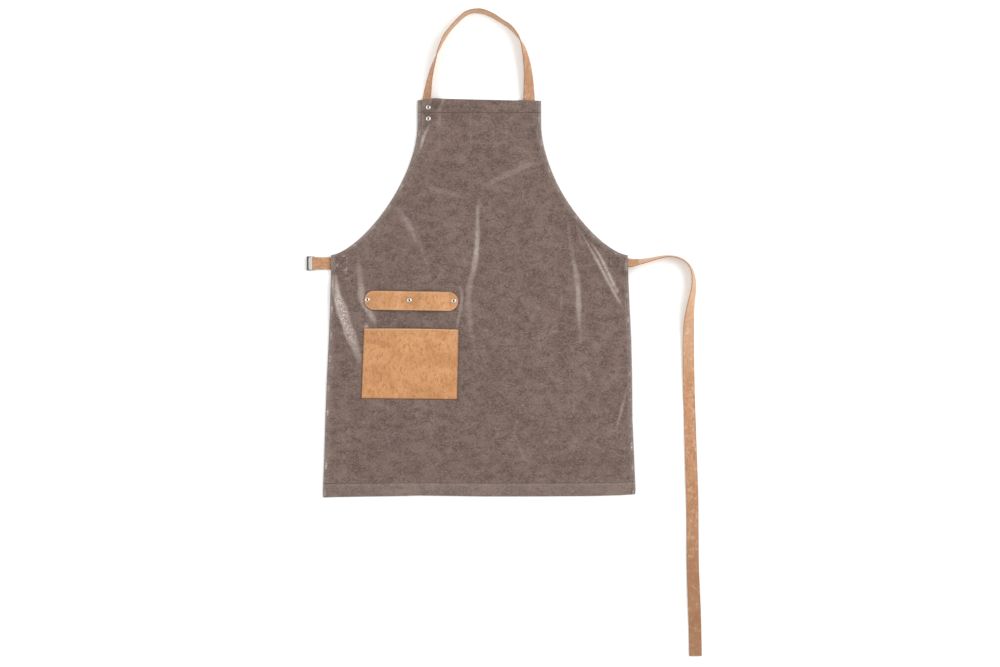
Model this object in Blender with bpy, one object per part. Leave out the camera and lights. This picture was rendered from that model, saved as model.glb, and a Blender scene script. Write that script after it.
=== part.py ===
# Grill apron laid flat, front up: a coated-cloth panel with turned hems, a neck strap, a waist tie,
# a buckle tab with its ring, a patch pocket and a tool band held by rivets.
# Metres, +Z up. The apron is drawn with x = 0 on its centreline, y = 0 on the hem and z = 0 on the
# surface that it lies on, and is moved at the end so that its box stands centred on the origin.

import math

import bmesh
import bpy
import numpy as np

# Outline of the panel
APRON_LENGTH = 0.800
HEM_WIDTH = 0.631
WAIST_WIDTH = 0.599
WAIST_HEIGHT = 0.486
BIB_WIDTH = 0.249
BIB_SIDE = 0.051
# The armhole is one curve. Its handles are shares of its own depth and width.
ARMHOLE_FALL = 0.416
ARMHOLE_SWEEP = 0.37
ARMHOLE_LIFT = 0.04

# Cloth and hems
PANEL_WALL = 0.0014
SIDE_HEM = 0.009
BOTTOM_HEM = 0.028
TOP_HEM = 0.024
HEM_STEP = 0.0003

# Room left between two pieces that touch, and how far a lifted stretch of cloth takes to settle
CLEARANCE = 0.0003
SETTLE = 0.034
PAD_MARGIN = 0.019

# Straps
STRAP_WIDTH = 0.0235
STRAP_WALL = 0.0020
STRAP_EDGE = 0.0005
STRAP_DROP = 0.017
SEWN_LENGTH = 0.026
NECK_LEFT_INSET = 0.0100
NECK_RIGHT_INSET = 0.013
NECK_LEFT_UNDER = 0.050
NECK_RIGHT_UNDER = 0.018
LOOP_HEIGHT = 0.173
TIE_REACH = 0.137
TIE_RISE = 0.0085
TIE_DROP = 0.789

# Buckle tab and ring
TAB_REACH = 0.0395
RING_SLOT_HEIGHT = 0.026
RING_SLOT = 0.0090
RING_BAR = 0.0060
RING_SIDE = 0.0025
RING_THICKNESS = 0.0022
RING_CORNER = 0.0025
RING_BEVEL = 0.0006

# Pocket and tool band, placed from the centreline and the hem
POCKET_WIDTH = 0.194
POCKET_HEIGHT = 0.141
POCKET_CENTRE = 0.139
POCKET_FOOT = 0.1955
POCKET_WALL = 0.0014
POCKET_SEAM = 0.006
POCKET_BULGE = 0.0095
BAND_LENGTH = 0.1915
BAND_HEIGHT = 0.0415
BAND_GAP = 0.036
BAND_WALL = 0.0016
BAND_BULGE = 0.0080
BAND_END = 0.0105
BAND_MIDDLE = 0.0030
BAND_SEAT = 0.0065
BOARD_TILT = math.radians(-0.85)

# Rivets: a cap with a dimple in front, a post, and a flat disc behind
RIVET_RADIUS = 0.0048
RIVET_DISC = 0.0044
RIVET_POST = 0.0017
RIVET_CAP = 0.0016
RIVET_BACK = 0.0008
RIVET_SIDES = 14
PUNCH_SIDES = 12
PUNCH_DEPTH = 0.030
NECK_RIVET_DEPTH = 0.0160
NECK_RIVET_PITCH = 0.0225
# The cap's profile from its edge to its centre, as shares of the cap's radius and height
CAP_PROFILE = ((1.00, 0.00), (1.00, 0.35), (0.90, 0.82), (0.70, 1.00), (0.52, 0.86), (0.32, 0.48))
CAP_CENTRE = 0.34

# Grid of the panel
SKIRT_ROWS = 23
ARMHOLE_ROWS = 13
BIB_ROWS = 3
COLUMNS = 27

# Folds of the cloth: where each ridge starts and ends, how far its middle bows to the right, its
# height and its half width. Across and bow are shares of half the hem, up is a share of the length,
# and height and width are shares of the two sizes below.
FOLD_HEIGHT = 0.0065
FOLD_WIDTH = 0.040
FOLD_COLUMNS = ("across_1", "up_1", "across_2", "up_2", "bow", "height", "width")
FOLDS = {
    "centre": (0.01, 0.76, 0.03, 0.29, -0.085, 0.72, 0.90),
    "chest_right": (0.03, 0.77, 0.38, 0.85, 0.01, 0.45, 0.80),
    "chest_left": (-0.35, 0.78, -0.08, 0.75, 0.00, 0.40, 0.85),
    "armhole_left": (-0.55, 0.74, -0.31, 0.58, 0.02, 0.60, 0.90),
    "waist_left": (-0.79, 0.63, -0.64, 0.43, -0.01, 0.70, 0.75),
    "side_left": (-0.93, 0.56, -0.74, 0.32, -0.03, 1.00, 0.85),
    "armhole_right": (0.56, 0.71, 0.68, 0.36, 0.02, 0.80, 0.85),
    "waist_right": (0.64, 0.68, 0.92, 0.47, 0.01, 0.75, 0.75),
    "side_right": (0.95, 0.30, 0.86, 0.15, -0.01, 0.50, 0.75),
    "bib_left": (-0.30, 0.95, -0.38, 0.86, 0.00, 0.40, 0.60),
    "bib_right": (0.33, 0.94, 0.41, 0.86, 0.00, 0.35, 0.60),
}
FOLD_SAMPLES = 32

# Route of the neck strap's outer edge round the loop, from the right root to the left one. Across is
# a share of the half distance between the outer edges, up is a share of the loop's height, and turn
# is how far the strap has rolled from flat, in degrees.
LOOP_COLUMNS = ("across", "up", "turn")
LOOP_ROUTE = (
    (1.000, 0.000, 0),
    (0.993, 0.090, 14),
    (0.981, 0.190, 30),
    (0.963, 0.300, 41),
    (0.930, 0.430, 50),
    (0.878, 0.550, 66),
    (0.775, 0.675, 92),
    (0.650, 0.765, 106),
    (0.505, 0.830, 112),
    (0.330, 0.895, 116),
    (0.135, 0.960, 118),
    (-0.020, 1.000, 118),
    (-0.160, 1.000, 117),
    (-0.285, 0.955, 113),
    (-0.400, 0.880, 108),
    (-0.510, 0.790, 103),
    (-0.605, 0.690, 98),
    (-0.685, 0.590, 94),
    (-0.755, 0.500, 89),
    (-0.820, 0.405, 78),
    (-0.875, 0.310, 69),
    (-0.925, 0.210, 62),
    (-0.962, 0.125, 52),
    (-0.988, 0.065, 36),
    (-1.000, 0.020, 12),
    (-1.000, 0.000, 0),
)

# Route of the tie's outer edge. Out is a share of its reach, up is measured against its rise above
# the root, and down is a share of its drop.
TIE_COLUMNS = ("out", "up", "down", "turn")
TIE_ROUTE = (
    (0.000, 0.00, 0.000, 0),
    (0.065, 0.02, 0.000, 9),
    (0.130, 0.06, 0.000, 26),
    (0.200, 0.16, 0.000, 46),
    (0.280, 0.36, 0.000, 64),
    (0.380, 0.66, 0.000, 78),
    (0.490, 0.91, 0.000, 87),
    (0.610, 1.02, 0.000, 90),
    (0.715, 0.98, 0.000, 90),
    (0.800, 0.66, 0.000, 90),
    (0.870, 0.00, 0.001, 90),
    (0.930, 0.00, 0.015, 90),
    (0.975, 0.00, 0.036, 88),
    (0.998, 0.00, 0.059, 80),
    (1.003, 0.00, 0.082, 66),
    (0.990, 0.00, 0.107, 50),
    (0.975, 0.00, 0.133, 32),
    (0.962, 0.00, 0.160, 14),
    (0.955, 0.00, 0.192, 3),
    (0.955, 0.00, 0.260, 0),
    (0.960, 0.00, 0.420, 0),
    (0.985, 0.00, 0.620, 0),
    (1.010, 0.00, 0.820, 0),
    (1.036, 0.00, 1.000, 0),
)
ROUTE_STEPS = 2

PANEL_COLOUR = (0.209, 0.147, 0.127)
TAN_COLOUR = (0.638, 0.319, 0.153)
METAL_COLOUR = (0.72, 0.71, 0.69)


def material(name, colour, roughness, metallic=0.0):
    made = bpy.data.materials.new(name)
    made.use_nodes = True
    shader = made.node_tree.nodes["Principled BSDF"]
    shader.inputs["Base Color"].default_value = (*colour, 1.0)
    shader.inputs["Roughness"].default_value = roughness
    shader.inputs["Metallic"].default_value = metallic
    return made


def add_object(name, bm, finish, sharp_angle=math.radians(40)):
    """Link a finished bmesh as an object with its material and smooth shading."""
    bmesh.ops.recalc_face_normals(bm, faces=bm.faces)
    mesh = bpy.data.meshes.new(name)
    bm.to_mesh(mesh)
    bm.free()
    mesh.shade_smooth()
    mesh.set_sharp_from_angle(angle=sharp_angle)
    obj = bpy.data.objects.new(name, mesh)
    bpy.context.scene.collection.objects.link(obj)
    if finish:
        mesh.materials.append(finish)
    return obj


def smooth(share):
    """0 below 0, 1 above 1, and an S curve between."""
    t = np.clip(share, 0.0, 1.0)
    return t * t * (3 - 2 * t)


# The places that several pieces share
WAIST_HALF = WAIST_WIDTH / 2
BIB_HALF = BIB_WIDTH / 2
STRAP_LEVEL = WAIST_HEIGHT - STRAP_DROP
STRAP_LIFT = STRAP_WALL + CLEARANCE
RIVET_LIFT = RIVET_BACK + CLEARANCE
TAB_LIFT = 2 * STRAP_LIFT
NECK_LEFT_X = -(BIB_HALF - NECK_LEFT_INSET - STRAP_WIDTH / 2)
NECK_RIGHT_X = BIB_HALF - NECK_RIGHT_INSET - STRAP_WIDTH / 2
BAND_Y = POCKET_FOOT + POCKET_HEIGHT + BAND_GAP + BAND_HEIGHT / 2
BOARD_TOP = RIVET_LIFT + PANEL_WALL


def side_x(y):
    """Half width of the skirt at a height above the hem."""
    return HEM_WIDTH / 2 + (WAIST_HALF - HEM_WIDTH / 2) * y / WAIST_HEIGHT


def tilted(x, y):
    """Turn places on the pocket and band a little, about the pocket's centre."""
    out_x, out_y = x + POCKET_CENTRE, y - (POCKET_FOOT + POCKET_HEIGHT / 2)
    cosine, sine = math.cos(BOARD_TILT), math.sin(BOARD_TILT)
    turned_x = out_x * cosine - out_y * sine
    turned_y = out_x * sine + out_y * cosine
    return turned_x - POCKET_CENTRE, turned_y + POCKET_FOOT + POCKET_HEIGHT / 2


def armhole(t):
    """Point and inward normal of the right armhole, from the waist corner (0) to the bib (1)."""
    bib_foot = APRON_LENGTH - BIB_SIDE
    depth, sweep = bib_foot - WAIST_HEIGHT, WAIST_HALF - BIB_HALF
    handles = np.array(
        [
            (WAIST_HALF, WAIST_HEIGHT),
            (WAIST_HALF - ARMHOLE_SWEEP * sweep, WAIST_HEIGHT + ARMHOLE_LIFT * depth),
            (BIB_HALF, bib_foot - ARMHOLE_FALL * depth),
            (BIB_HALF, bib_foot),
        ]
    )
    weights = np.array([(1 - t) ** 3, 3 * t * (1 - t) ** 2, 3 * t * t * (1 - t), t**3])
    slopes = np.array([(1 - t) ** 2, 2 * t * (1 - t), t * t])
    point, along = weights @ handles, slopes @ np.diff(handles, axis=0)
    along /= np.linalg.norm(along)
    return point, np.array((-along[1], along[0]))


def side_rows():
    """Rows of the right half, from hem to bib: the point on the edge and the one inside its hem."""
    corner, inward = armhole(0.0)
    mitre_x = side_x(WAIST_HEIGHT) - SIDE_HEM
    start = corner + inward * SIDE_HEM
    mitre = np.array((mitre_x, start[1] + (mitre_x - start[0]) * -inward[0] / inward[1]))
    heights = [0.0, BOTTOM_HEM - HEM_STEP, BOTTOM_HEM + HEM_STEP]
    skirt = np.linspace(BOTTOM_HEM, mitre[1], SKIRT_ROWS + 1)
    rows = [
        (np.array((side_x(y), y)), np.array((side_x(y) - SIDE_HEM, y)))
        for y in (*heights, *skirt[1:-1])
    ]
    rows.append((corner, mitre))
    for step in range(1, ARMHOLE_ROWS + 1):
        point, normal = armhole((step / ARMHOLE_ROWS) ** 0.9)
        rows.append((point, point + normal * SIDE_HEM))
    foot = APRON_LENGTH - BIB_SIDE
    bib = np.linspace(foot, APRON_LENGTH - TOP_HEM - HEM_STEP, BIB_ROWS + 1)[1:]
    for y in (*bib, APRON_LENGTH - TOP_HEM + HEM_STEP, APRON_LENGTH):
        rows.append((np.array((BIB_HALF, y)), np.array((BIB_HALF - SIDE_HEM, y))))
    return rows


def pads():
    """Stretches that lie flat on something: x and y of the middle, half sizes and height."""
    sewn, half = SEWN_LENGTH / 2, STRAP_WIDTH / 2
    neck_lift = RIVET_LIFT + STRAP_LIFT
    board_top = BAND_Y + BAND_HEIGHT / 2
    board = (POCKET_FOOT + board_top) / 2
    left, right = NECK_LEFT_UNDER / 2, NECK_RIGHT_UNDER / 2
    board_half = max(POCKET_WIDTH, BAND_LENGTH) / 2
    return (
        (-POCKET_CENTRE, board, board_half, board_top - board, RIVET_LIFT),
        (-(WAIST_HALF - sewn), STRAP_LEVEL, sewn, half, TAB_LIFT),
        (WAIST_HALF - sewn, STRAP_LEVEL, sewn, half, STRAP_LIFT),
        (NECK_LEFT_X, APRON_LENGTH - left, half, left, neck_lift),
        (NECK_RIGHT_X, APRON_LENGTH - right, half, right, STRAP_LIFT),
    )


def fold_height(x, y):
    """Height of the folds: rounded ridges along bowed lines, tapering to nothing at both ends."""
    total = np.zeros_like(x)
    t = np.linspace(0.0, 1.0, FOLD_SAMPLES)
    for row in FOLDS.values():
        fold = dict(zip(FOLD_COLUMNS, row))
        bow = fold["bow"] * 4 * t * (1 - t)
        across = fold["across_1"] + (fold["across_2"] - fold["across_1"]) * t + bow
        up = fold["up_1"] + (fold["up_2"] - fold["up_1"]) * t
        line_x, line_y = across * HEM_WIDTH / 2, up * APRON_LENGTH
        away = np.hypot(x[..., None] - line_x, y[..., None] - line_y)
        near = away.argmin(axis=-1)
        taper = np.sin(math.pi * t[near]) ** 0.8
        share = np.clip(away.min(axis=-1) / (fold["width"] * FOLD_WIDTH), 0.0, 1.0)
        total += fold["height"] * FOLD_HEIGHT * taper * (1 - share**2) ** 2
    return total


def underside(x, y):
    """Height of the cloth's underside above the surface: lifted over what lies under it, and folded."""
    lift, flat = np.zeros_like(x), np.zeros_like(x)
    for pad_x, pad_y, half_x, half_y, height in pads():
        past_x = np.maximum(np.abs(x - pad_x) - half_x - PAD_MARGIN, 0.0)
        past_y = np.maximum(np.abs(y - pad_y) - half_y - PAD_MARGIN, 0.0)
        share = smooth(1 - np.hypot(past_x, past_y) / SETTLE)
        lift, flat = np.maximum(lift, height * share), np.maximum(flat, share)
    return lift + fold_height(x, y) * (1 - flat)


def panel_grid():
    """Plan places of the panel's nodes, and how many layers of hem are over and under each."""
    rows = side_rows()
    across = np.linspace(-1.0, 1.0, COLUMNS + 1)[1:-1]
    x, y = [], []
    for edge, inner in rows:
        beyond = inner[0] - 2 * HEM_STEP
        x.append([-edge[0], -inner[0], -beyond, *(across * beyond), beyond, inner[0], edge[0]])
        y.append([edge[1], *[inner[1]] * (len(across) + 4), edge[1]])
    x, y = np.array(x), np.array(y)
    row, column = np.indices(x.shape)
    depth = np.minimum(
        np.minimum(row, x.shape[0] - 1 - row), np.minimum(column, x.shape[1] - 1 - column)
    )
    return x, y, depth


def shell(lower, upper):
    """A closed bmesh between two grids of points with the same layout."""
    bm = bmesh.new()
    nodes = [[[bm.verts.new(point) for point in row] for row in grid] for grid in (lower, upper)]
    bottom, top = nodes
    last_row, last_column = len(top) - 1, len(top[0]) - 1
    for i in range(last_row):
        for j in range(last_column):
            bm.faces.new((top[i][j], top[i][j + 1], top[i + 1][j + 1], top[i + 1][j]))
            bm.faces.new((bottom[i][j], bottom[i + 1][j], bottom[i + 1][j + 1], bottom[i][j + 1]))
    for i in range(last_row):
        for j in (0, last_column):
            bm.faces.new((top[i][j], top[i + 1][j], bottom[i + 1][j], bottom[i][j]))
    for j in range(last_column):
        for i in (0, last_row):
            bm.faces.new((top[i][j], top[i][j + 1], bottom[i][j + 1], bottom[i][j]))
    return bm


def grid_points(x, y, z):
    return np.stack([x, y, z], axis=-1).tolist()


def make_panel(finish):
    x, y, depth = panel_grid()
    floor = underside(x, y)
    over_hem_edge = depth == 2
    bottom = floor + PANEL_WALL * over_hem_edge
    top = floor + PANEL_WALL * (1 + (depth <= 2))
    return add_object("apron_panel", shell(grid_points(x, y, bottom), grid_points(x, y, top)), finish)


def ribbon(name, rows, finish):
    """A strap swept along rows of edge point, direction to the other edge, and face normal."""
    half, edge = STRAP_WALL / 2, STRAP_EDGE
    section = (
        (edge, -half),
        (STRAP_WIDTH - edge, -half),
        (STRAP_WIDTH, edge - half),
        (STRAP_WIDTH, half - edge),
        (STRAP_WIDTH - edge, half),
        (edge, half),
        (0.0, half - edge),
        (0.0, edge - half),
    )
    bm = bmesh.new()
    rings = [
        [bm.verts.new(point + across * v + normal * h) for v, h in section]
        for point, across, normal in rows
    ]
    count = len(section)
    for first, second in zip(rings, rings[1:]):
        for i in range(count):
            j = (i + 1) % count
            bm.faces.new((first[i], first[j], second[j], second[i]))
    bm.faces.new(rings[0])
    bm.faces.new(reversed(rings[-1]))
    return add_object(name, bm, finish)


def through(table, steps):
    """Points on a smooth curve through the table's rows, with several steps to each."""
    table = np.array(table, float)
    before = 2 * table[0] - table[1]
    after = 2 * table[-1] - table[-2]
    rows = np.vstack([before, table, after])
    points = []
    for a, b, c, d in zip(rows, rows[1:], rows[2:], rows[3:]):
        for t in np.arange(steps) / steps:
            points.append(
                b + (c - a) * t / 2 + (2 * a - 5 * b + 4 * c - d) * t * t / 2
                + (3 * b - a - 3 * c + d) * t**3 / 2
            )
    return np.array([*points, table[-1]])


def rolled_rows(path, turns, raised, side):
    """Rows for a strap that stands on one edge. Side is 1 where its other edge lies to the left of
    the way it runs and -1 where it lies to the right, and turn 0 is flat."""
    along = np.gradient(path, axis=0)
    along /= np.linalg.norm(along, axis=1)[:, None]
    rows = []
    for (x, y), (run_x, run_y), degrees, lift in zip(path, along, turns, raised):
        inward = np.array((-run_y * side, run_x * side, 0.0))
        up = np.array((0.0, 0.0, 1.0))
        sine, cosine = math.sin(math.radians(degrees)), math.cos(math.radians(degrees))
        point = np.array((x, y, lift + STRAP_WALL / 2 * abs(cosine)))
        rows.append((point, inward * cosine + up * sine, up * cosine - inward * sine))
    return rows


def make_neck_strap(finish):
    left = NECK_LEFT_X - STRAP_WIDTH / 2
    right = NECK_RIGHT_X + STRAP_WIDTH / 2
    middle, half_span = (left + right) / 2, (right - left) / 2
    route = through(LOOP_ROUTE, ROUTE_STEPS)
    path = np.column_stack(
        [middle + route[:, 0] * half_span, APRON_LENGTH + route[:, 1] * LOOP_HEIGHT]
    )
    path = np.vstack(
        [
            (right, APRON_LENGTH - NECK_RIGHT_UNDER),
            path,
            (left, APRON_LENGTH - NECK_RIVET_DEPTH + RIVET_RADIUS),
            (left, APRON_LENGTH - NECK_LEFT_UNDER),
        ]
    )
    turns = np.concatenate([[0], np.clip(route[:, 2], 0, None), [0, 0]])
    settled = smooth((path[:, 0] - left) / (STRAP_WIDTH / 2))
    on_left = (path[:, 0] < middle) & (path[:, 1] < APRON_LENGTH + LOOP_HEIGHT / 3)
    raised = np.where(on_left, RIVET_LIFT * (1 - settled), 0.0)
    return ribbon("neck_strap", rolled_rows(path, turns, raised, side=1), finish)


def make_waist_tie(finish):
    route = through(TIE_ROUTE, ROUTE_STEPS)
    edge = STRAP_LEVEL + STRAP_WIDTH / 2
    path = np.column_stack(
        [
            WAIST_HALF + route[:, 0] * TIE_REACH,
            edge + route[:, 1] * TIE_RISE - route[:, 2] * TIE_DROP,
        ]
    )
    path = np.vstack([(WAIST_HALF - SEWN_LENGTH, edge), path])
    turns = np.concatenate([[0], np.clip(route[:, 3], 0, None)])
    return ribbon("waist_tie", rolled_rows(path, turns, np.zeros(len(path)), side=-1), finish)


def tab_end():
    """x of the fold at the free end of the tab."""
    return -(WAIST_HALF + TAB_REACH)


def make_buckle_tab(finish):
    """One strip folded round the ring's bar, with both ends under the panel."""
    half = STRAP_WALL / 2
    low, high = half, 3 * half + RING_THICKNESS + 2 * CLEARANCE
    sewn_high = 3 * half + CLEARANCE
    radius = (high - low) / 2
    fold_x = tab_end() + half + radius
    bar_end = fold_x + RING_BAR
    seam, sewn = -WAIST_HALF, -(WAIST_HALF - SEWN_LENGTH)
    upper = [(sewn, sewn_high), (seam - half, sewn_high)]
    for share in (0.2, 0.4, 0.6, 0.8, 1.0):
        x = seam - half + (bar_end - seam + half) * share
        upper.append((x, sewn_high + (high - sewn_high) * float(smooth(share))))
    turn = [
        (fold_x - radius * math.sin(angle), low + radius + radius * math.cos(angle))
        for angle in np.linspace(0.0, math.pi, 9)
    ]
    path = np.array([*upper, *turn, (bar_end, low), (seam, low), (sewn, low)])
    along = np.gradient(path, axis=0)
    along /= np.linalg.norm(along, axis=1)[:, None]
    foot = STRAP_LEVEL - STRAP_WIDTH / 2
    rows = [
        (np.array((x, foot, z)), np.array((0.0, 1.0, 0.0)), np.array((run_z, 0.0, -run_x)))
        for (x, z), (run_x, run_z) in zip(path, along)
    ]
    return ribbon("buckle_tab", rows, finish)


def rounded_box(half_x, half_y, radius, steps=4):
    """Corner points of a rectangle with round corners, anticlockwise."""
    points = []
    for corner in range(4):
        sign_x, sign_y = ((1, 1), (-1, 1), (-1, -1), (1, -1))[corner]
        for step in range(steps + 1):
            angle = math.pi / 2 * (corner + step / steps)
            points.append(
                (
                    sign_x * (half_x - radius) + radius * math.cos(angle),
                    sign_y * (half_y - radius) + radius * math.sin(angle),
                )
            )
    return points


def make_buckle_ring(finish):
    """Flat rectangular ring. Its right bar lies in the fold of the tab."""
    half_x = RING_SLOT / 2 + RING_BAR
    half_y = RING_SLOT_HEIGHT / 2 + RING_SIDE
    bar_left = tab_end() + STRAP_WALL + CLEARANCE
    centre_x = bar_left - RING_SLOT / 2
    base = STRAP_WALL + CLEARANCE
    bm = bmesh.new()
    loops = []
    for z in (base, base + RING_THICKNESS):
        for size_x, size_y, radius in (
            (half_x, half_y, RING_CORNER),
            (RING_SLOT / 2, RING_SLOT_HEIGHT / 2, RING_CORNER / 2),
        ):
            loops.append(
                [
                    bm.verts.new((centre_x + x, STRAP_LEVEL + y, z))
                    for x, y in rounded_box(size_x, size_y, radius)
                ]
            )
    outer_low, inner_low, outer_high, inner_high = loops
    count = len(outer_low)
    for i in range(count):
        j = (i + 1) % count
        bm.faces.new((outer_low[j], outer_low[i], inner_low[i], inner_low[j]))
        bm.faces.new((outer_high[i], outer_high[j], inner_high[j], inner_high[i]))
        bm.faces.new((outer_low[i], outer_low[j], outer_high[j], outer_high[i]))
        bm.faces.new((inner_low[j], inner_low[i], inner_high[i], inner_high[j]))
    ring = add_object("buckle_ring", bm, finish)
    bevel = ring.modifiers.new("round_edges", "BEVEL")
    bevel.width = RING_BEVEL
    bevel.segments = 2
    bevel.angle_limit = math.radians(60)
    return ring


def make_pocket(finish):
    """Front of a patch pocket, sewn down on three sides and open towards the neck."""
    across = np.array([-1.0, *np.linspace(-0.94, 0.94, 13), 1.0])
    up = np.array([0.0, POCKET_SEAM / POCKET_HEIGHT, *np.linspace(0.16, 1.0, 8)])
    u, v = np.meshgrid(across, up)
    half = POCKET_WIDTH / 2
    seam = POCKET_SEAM / half
    open_u = np.clip(np.abs(u) / (1 - seam), 0.0, 1.0)
    open_v = np.clip((v - POCKET_SEAM / POCKET_HEIGHT) / (1 - POCKET_SEAM / POCKET_HEIGHT), 0.0, 1.0)
    bulge = POCKET_BULGE * (1 - open_u**2) * np.sin(open_v * math.pi / 2) ** 0.8
    x, y = tilted(-POCKET_CENTRE + u * half, POCKET_FOOT + v * POCKET_HEIGHT)
    z = BOARD_TOP + CLEARANCE + bulge
    return add_object(
        "pocket", shell(grid_points(x, y, z), grid_points(x, y, z + POCKET_WALL)), finish
    )


def band_rivets():
    """x of the three rivets of the tool band before it is tilted, from left to right."""
    reach = BAND_LENGTH / 2 - BAND_END
    return tuple(-POCKET_CENTRE + offset for offset in (-reach, -BAND_MIDDLE, reach))


def make_tool_band(finish):
    """Band with round ends, flat at its rivets and arched between them."""
    radius, half = BAND_HEIGHT / 2, BAND_LENGTH / 2
    ends = radius * (1 - np.cos(np.linspace(0.0, math.pi / 2, 7)))
    left_end = -half + ends
    middle = np.linspace(left_end[-1], -left_end[-1], 24)[1:-1]
    stations = np.concatenate([left_end[1:], middle, -left_end[1:][::-1]])
    near_end = np.maximum(np.abs(stations) - (half - radius), 0.0)
    half_height = np.sqrt(radius**2 - near_end**2)
    x = -POCKET_CENTRE + stations
    bulge = np.zeros_like(x)
    rivets = band_rivets()
    for first, second in zip(rivets, rivets[1:]):
        share = (x - first - BAND_SEAT) / (second - first - 2 * BAND_SEAT)
        inside = (share > 0) & (share < 1)
        bulge = np.where(inside, BAND_BULGE * np.sin(math.pi * np.clip(share, 0, 1)), bulge)
    rows = np.linspace(-1.0, 1.0, 5)
    grid_x = np.tile(x, (len(rows), 1))
    grid_y = BAND_Y + rows[:, None] * half_height
    grid_x, grid_y = tilted(grid_x, grid_y)
    grid_z = np.tile(BOARD_TOP + CLEARANCE + bulge, (len(rows), 1))
    bm = shell(grid_points(grid_x, grid_y, grid_z), grid_points(grid_x, grid_y, grid_z + BAND_WALL))
    return add_object("tool_band", bm, finish)


def make_rivet(name, x, y, grip, finish):
    """Rivet turned about its own axis. Grip is what lies between its disc and its cap."""
    cap_foot = RIVET_BACK + grip
    profile = [
        (0.0, 0.0),
        (RIVET_DISC, 0.0),
        (RIVET_DISC, RIVET_BACK),
        (RIVET_POST, RIVET_BACK),
        (RIVET_POST, cap_foot),
        *[(out * RIVET_RADIUS, cap_foot + up * RIVET_CAP) for out, up in CAP_PROFILE],
        (0.0, cap_foot + CAP_CENTRE * RIVET_CAP),
    ]
    bm = bmesh.new()
    points = [bm.verts.new((x + radius, y, z)) for radius, z in profile]
    edges = [bm.edges.new((a, b)) for a, b in zip(points, points[1:])]
    bmesh.ops.spin(
        bm,
        geom=[*points, *edges],
        cent=(x, y, 0.0),
        axis=(0.0, 0.0, 1.0),
        angle=math.tau,
        steps=RIVET_SIDES,
        use_merge=True,
    )
    bmesh.ops.remove_doubles(bm, verts=bm.verts, dist=1e-6)
    return add_object(name, bm, finish)


def make_cutter(places):
    """Round punches for the rivets' posts, in one hidden mesh."""
    bm = bmesh.new()
    for x, y in places:
        made = bmesh.ops.create_cone(
            bm,
            cap_ends=True,
            segments=PUNCH_SIDES,
            radius1=RIVET_POST + CLEARANCE,
            radius2=RIVET_POST + CLEARANCE,
            depth=PUNCH_DEPTH,
        )
        bmesh.ops.translate(bm, verts=made["verts"], vec=(x, y, 0.0))
    cutter = add_object("punch", bm, None)
    cutter.hide_render = True
    cutter.display_type = "WIRE"
    return cutter


def punch(obj, cutter):
    cut = obj.modifiers.new("rivet_holes", "BOOLEAN")
    cut.operation = "DIFFERENCE"
    cut.object = cutter


def stand_on_origin(objects):
    """Move every object so that the whole box is centred over the origin."""
    corners = np.array(
        [vertex.co for obj in objects if not obj.hide_render for vertex in obj.data.vertices]
    )
    low, high = corners.min(axis=0), corners.max(axis=0)
    shift = (-(low[0] + high[0]) / 2, -(low[1] + high[1]) / 2, 0.0)
    for obj in objects:
        obj.location = shift


def main():
    for obj in list(bpy.data.objects):
        bpy.data.objects.remove(obj)

    panel_cloth = material("panel_cloth", PANEL_COLOUR, 0.38)
    tan_leather = material("tan_leather", TAN_COLOUR, 0.55)
    strap_leather = material("strap_leather", TAN_COLOUR, 0.50)
    nickel = material("nickel", METAL_COLOUR, 0.22, metallic=1.0)

    panel = make_panel(panel_cloth)
    neck_strap = make_neck_strap(strap_leather)
    band = make_tool_band(tan_leather)
    made = [
        panel,
        neck_strap,
        band,
        make_waist_tie(strap_leather),
        make_buckle_tab(strap_leather),
        make_buckle_ring(nickel),
        make_pocket(tan_leather),
    ]

    upper = APRON_LENGTH - NECK_RIVET_DEPTH
    lower = upper - NECK_RIVET_PITCH
    neck_grip = CLEARANCE + STRAP_LIFT + PANEL_WALL + CLEARANCE
    band_grip = CLEARANCE + PANEL_WALL + CLEARANCE + BAND_WALL + CLEARANCE
    made.append(make_rivet("neck_rivet_upper", NECK_LEFT_X, upper, neck_grip + PANEL_WALL, nickel))
    made.append(make_rivet("neck_rivet_lower", NECK_LEFT_X, lower, neck_grip, nickel))
    on_band = [tilted(x, BAND_Y) for x in band_rivets()]
    for side, (x, y) in zip(("left", "middle", "right"), on_band):
        made.append(make_rivet(f"band_rivet_{side}", x, y, band_grip, nickel))

    neck_holes = make_cutter([(NECK_LEFT_X, upper), (NECK_LEFT_X, lower)])
    band_holes = make_cutter(on_band)
    punch(panel, neck_holes)
    punch(panel, band_holes)
    punch(neck_strap, neck_holes)
    punch(band, band_holes)
    stand_on_origin([*made, neck_holes, band_holes])


main()
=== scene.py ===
import math

import bpy
import numpy as np
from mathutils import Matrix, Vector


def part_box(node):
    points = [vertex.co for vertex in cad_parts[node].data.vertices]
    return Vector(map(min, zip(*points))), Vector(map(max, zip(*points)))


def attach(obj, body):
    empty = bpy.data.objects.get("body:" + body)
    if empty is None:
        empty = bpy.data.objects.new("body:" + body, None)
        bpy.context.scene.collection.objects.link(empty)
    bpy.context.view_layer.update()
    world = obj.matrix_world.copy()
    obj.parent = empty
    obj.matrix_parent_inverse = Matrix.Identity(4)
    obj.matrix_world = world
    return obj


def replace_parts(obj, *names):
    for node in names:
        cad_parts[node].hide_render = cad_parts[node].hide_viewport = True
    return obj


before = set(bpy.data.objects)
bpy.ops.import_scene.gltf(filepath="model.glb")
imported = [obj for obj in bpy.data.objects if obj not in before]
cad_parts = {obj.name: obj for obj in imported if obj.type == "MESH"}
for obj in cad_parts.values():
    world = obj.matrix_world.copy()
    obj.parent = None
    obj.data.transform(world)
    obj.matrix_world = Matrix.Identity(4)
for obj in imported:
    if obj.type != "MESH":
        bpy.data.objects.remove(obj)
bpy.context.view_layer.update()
print("frame loaded")

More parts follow.
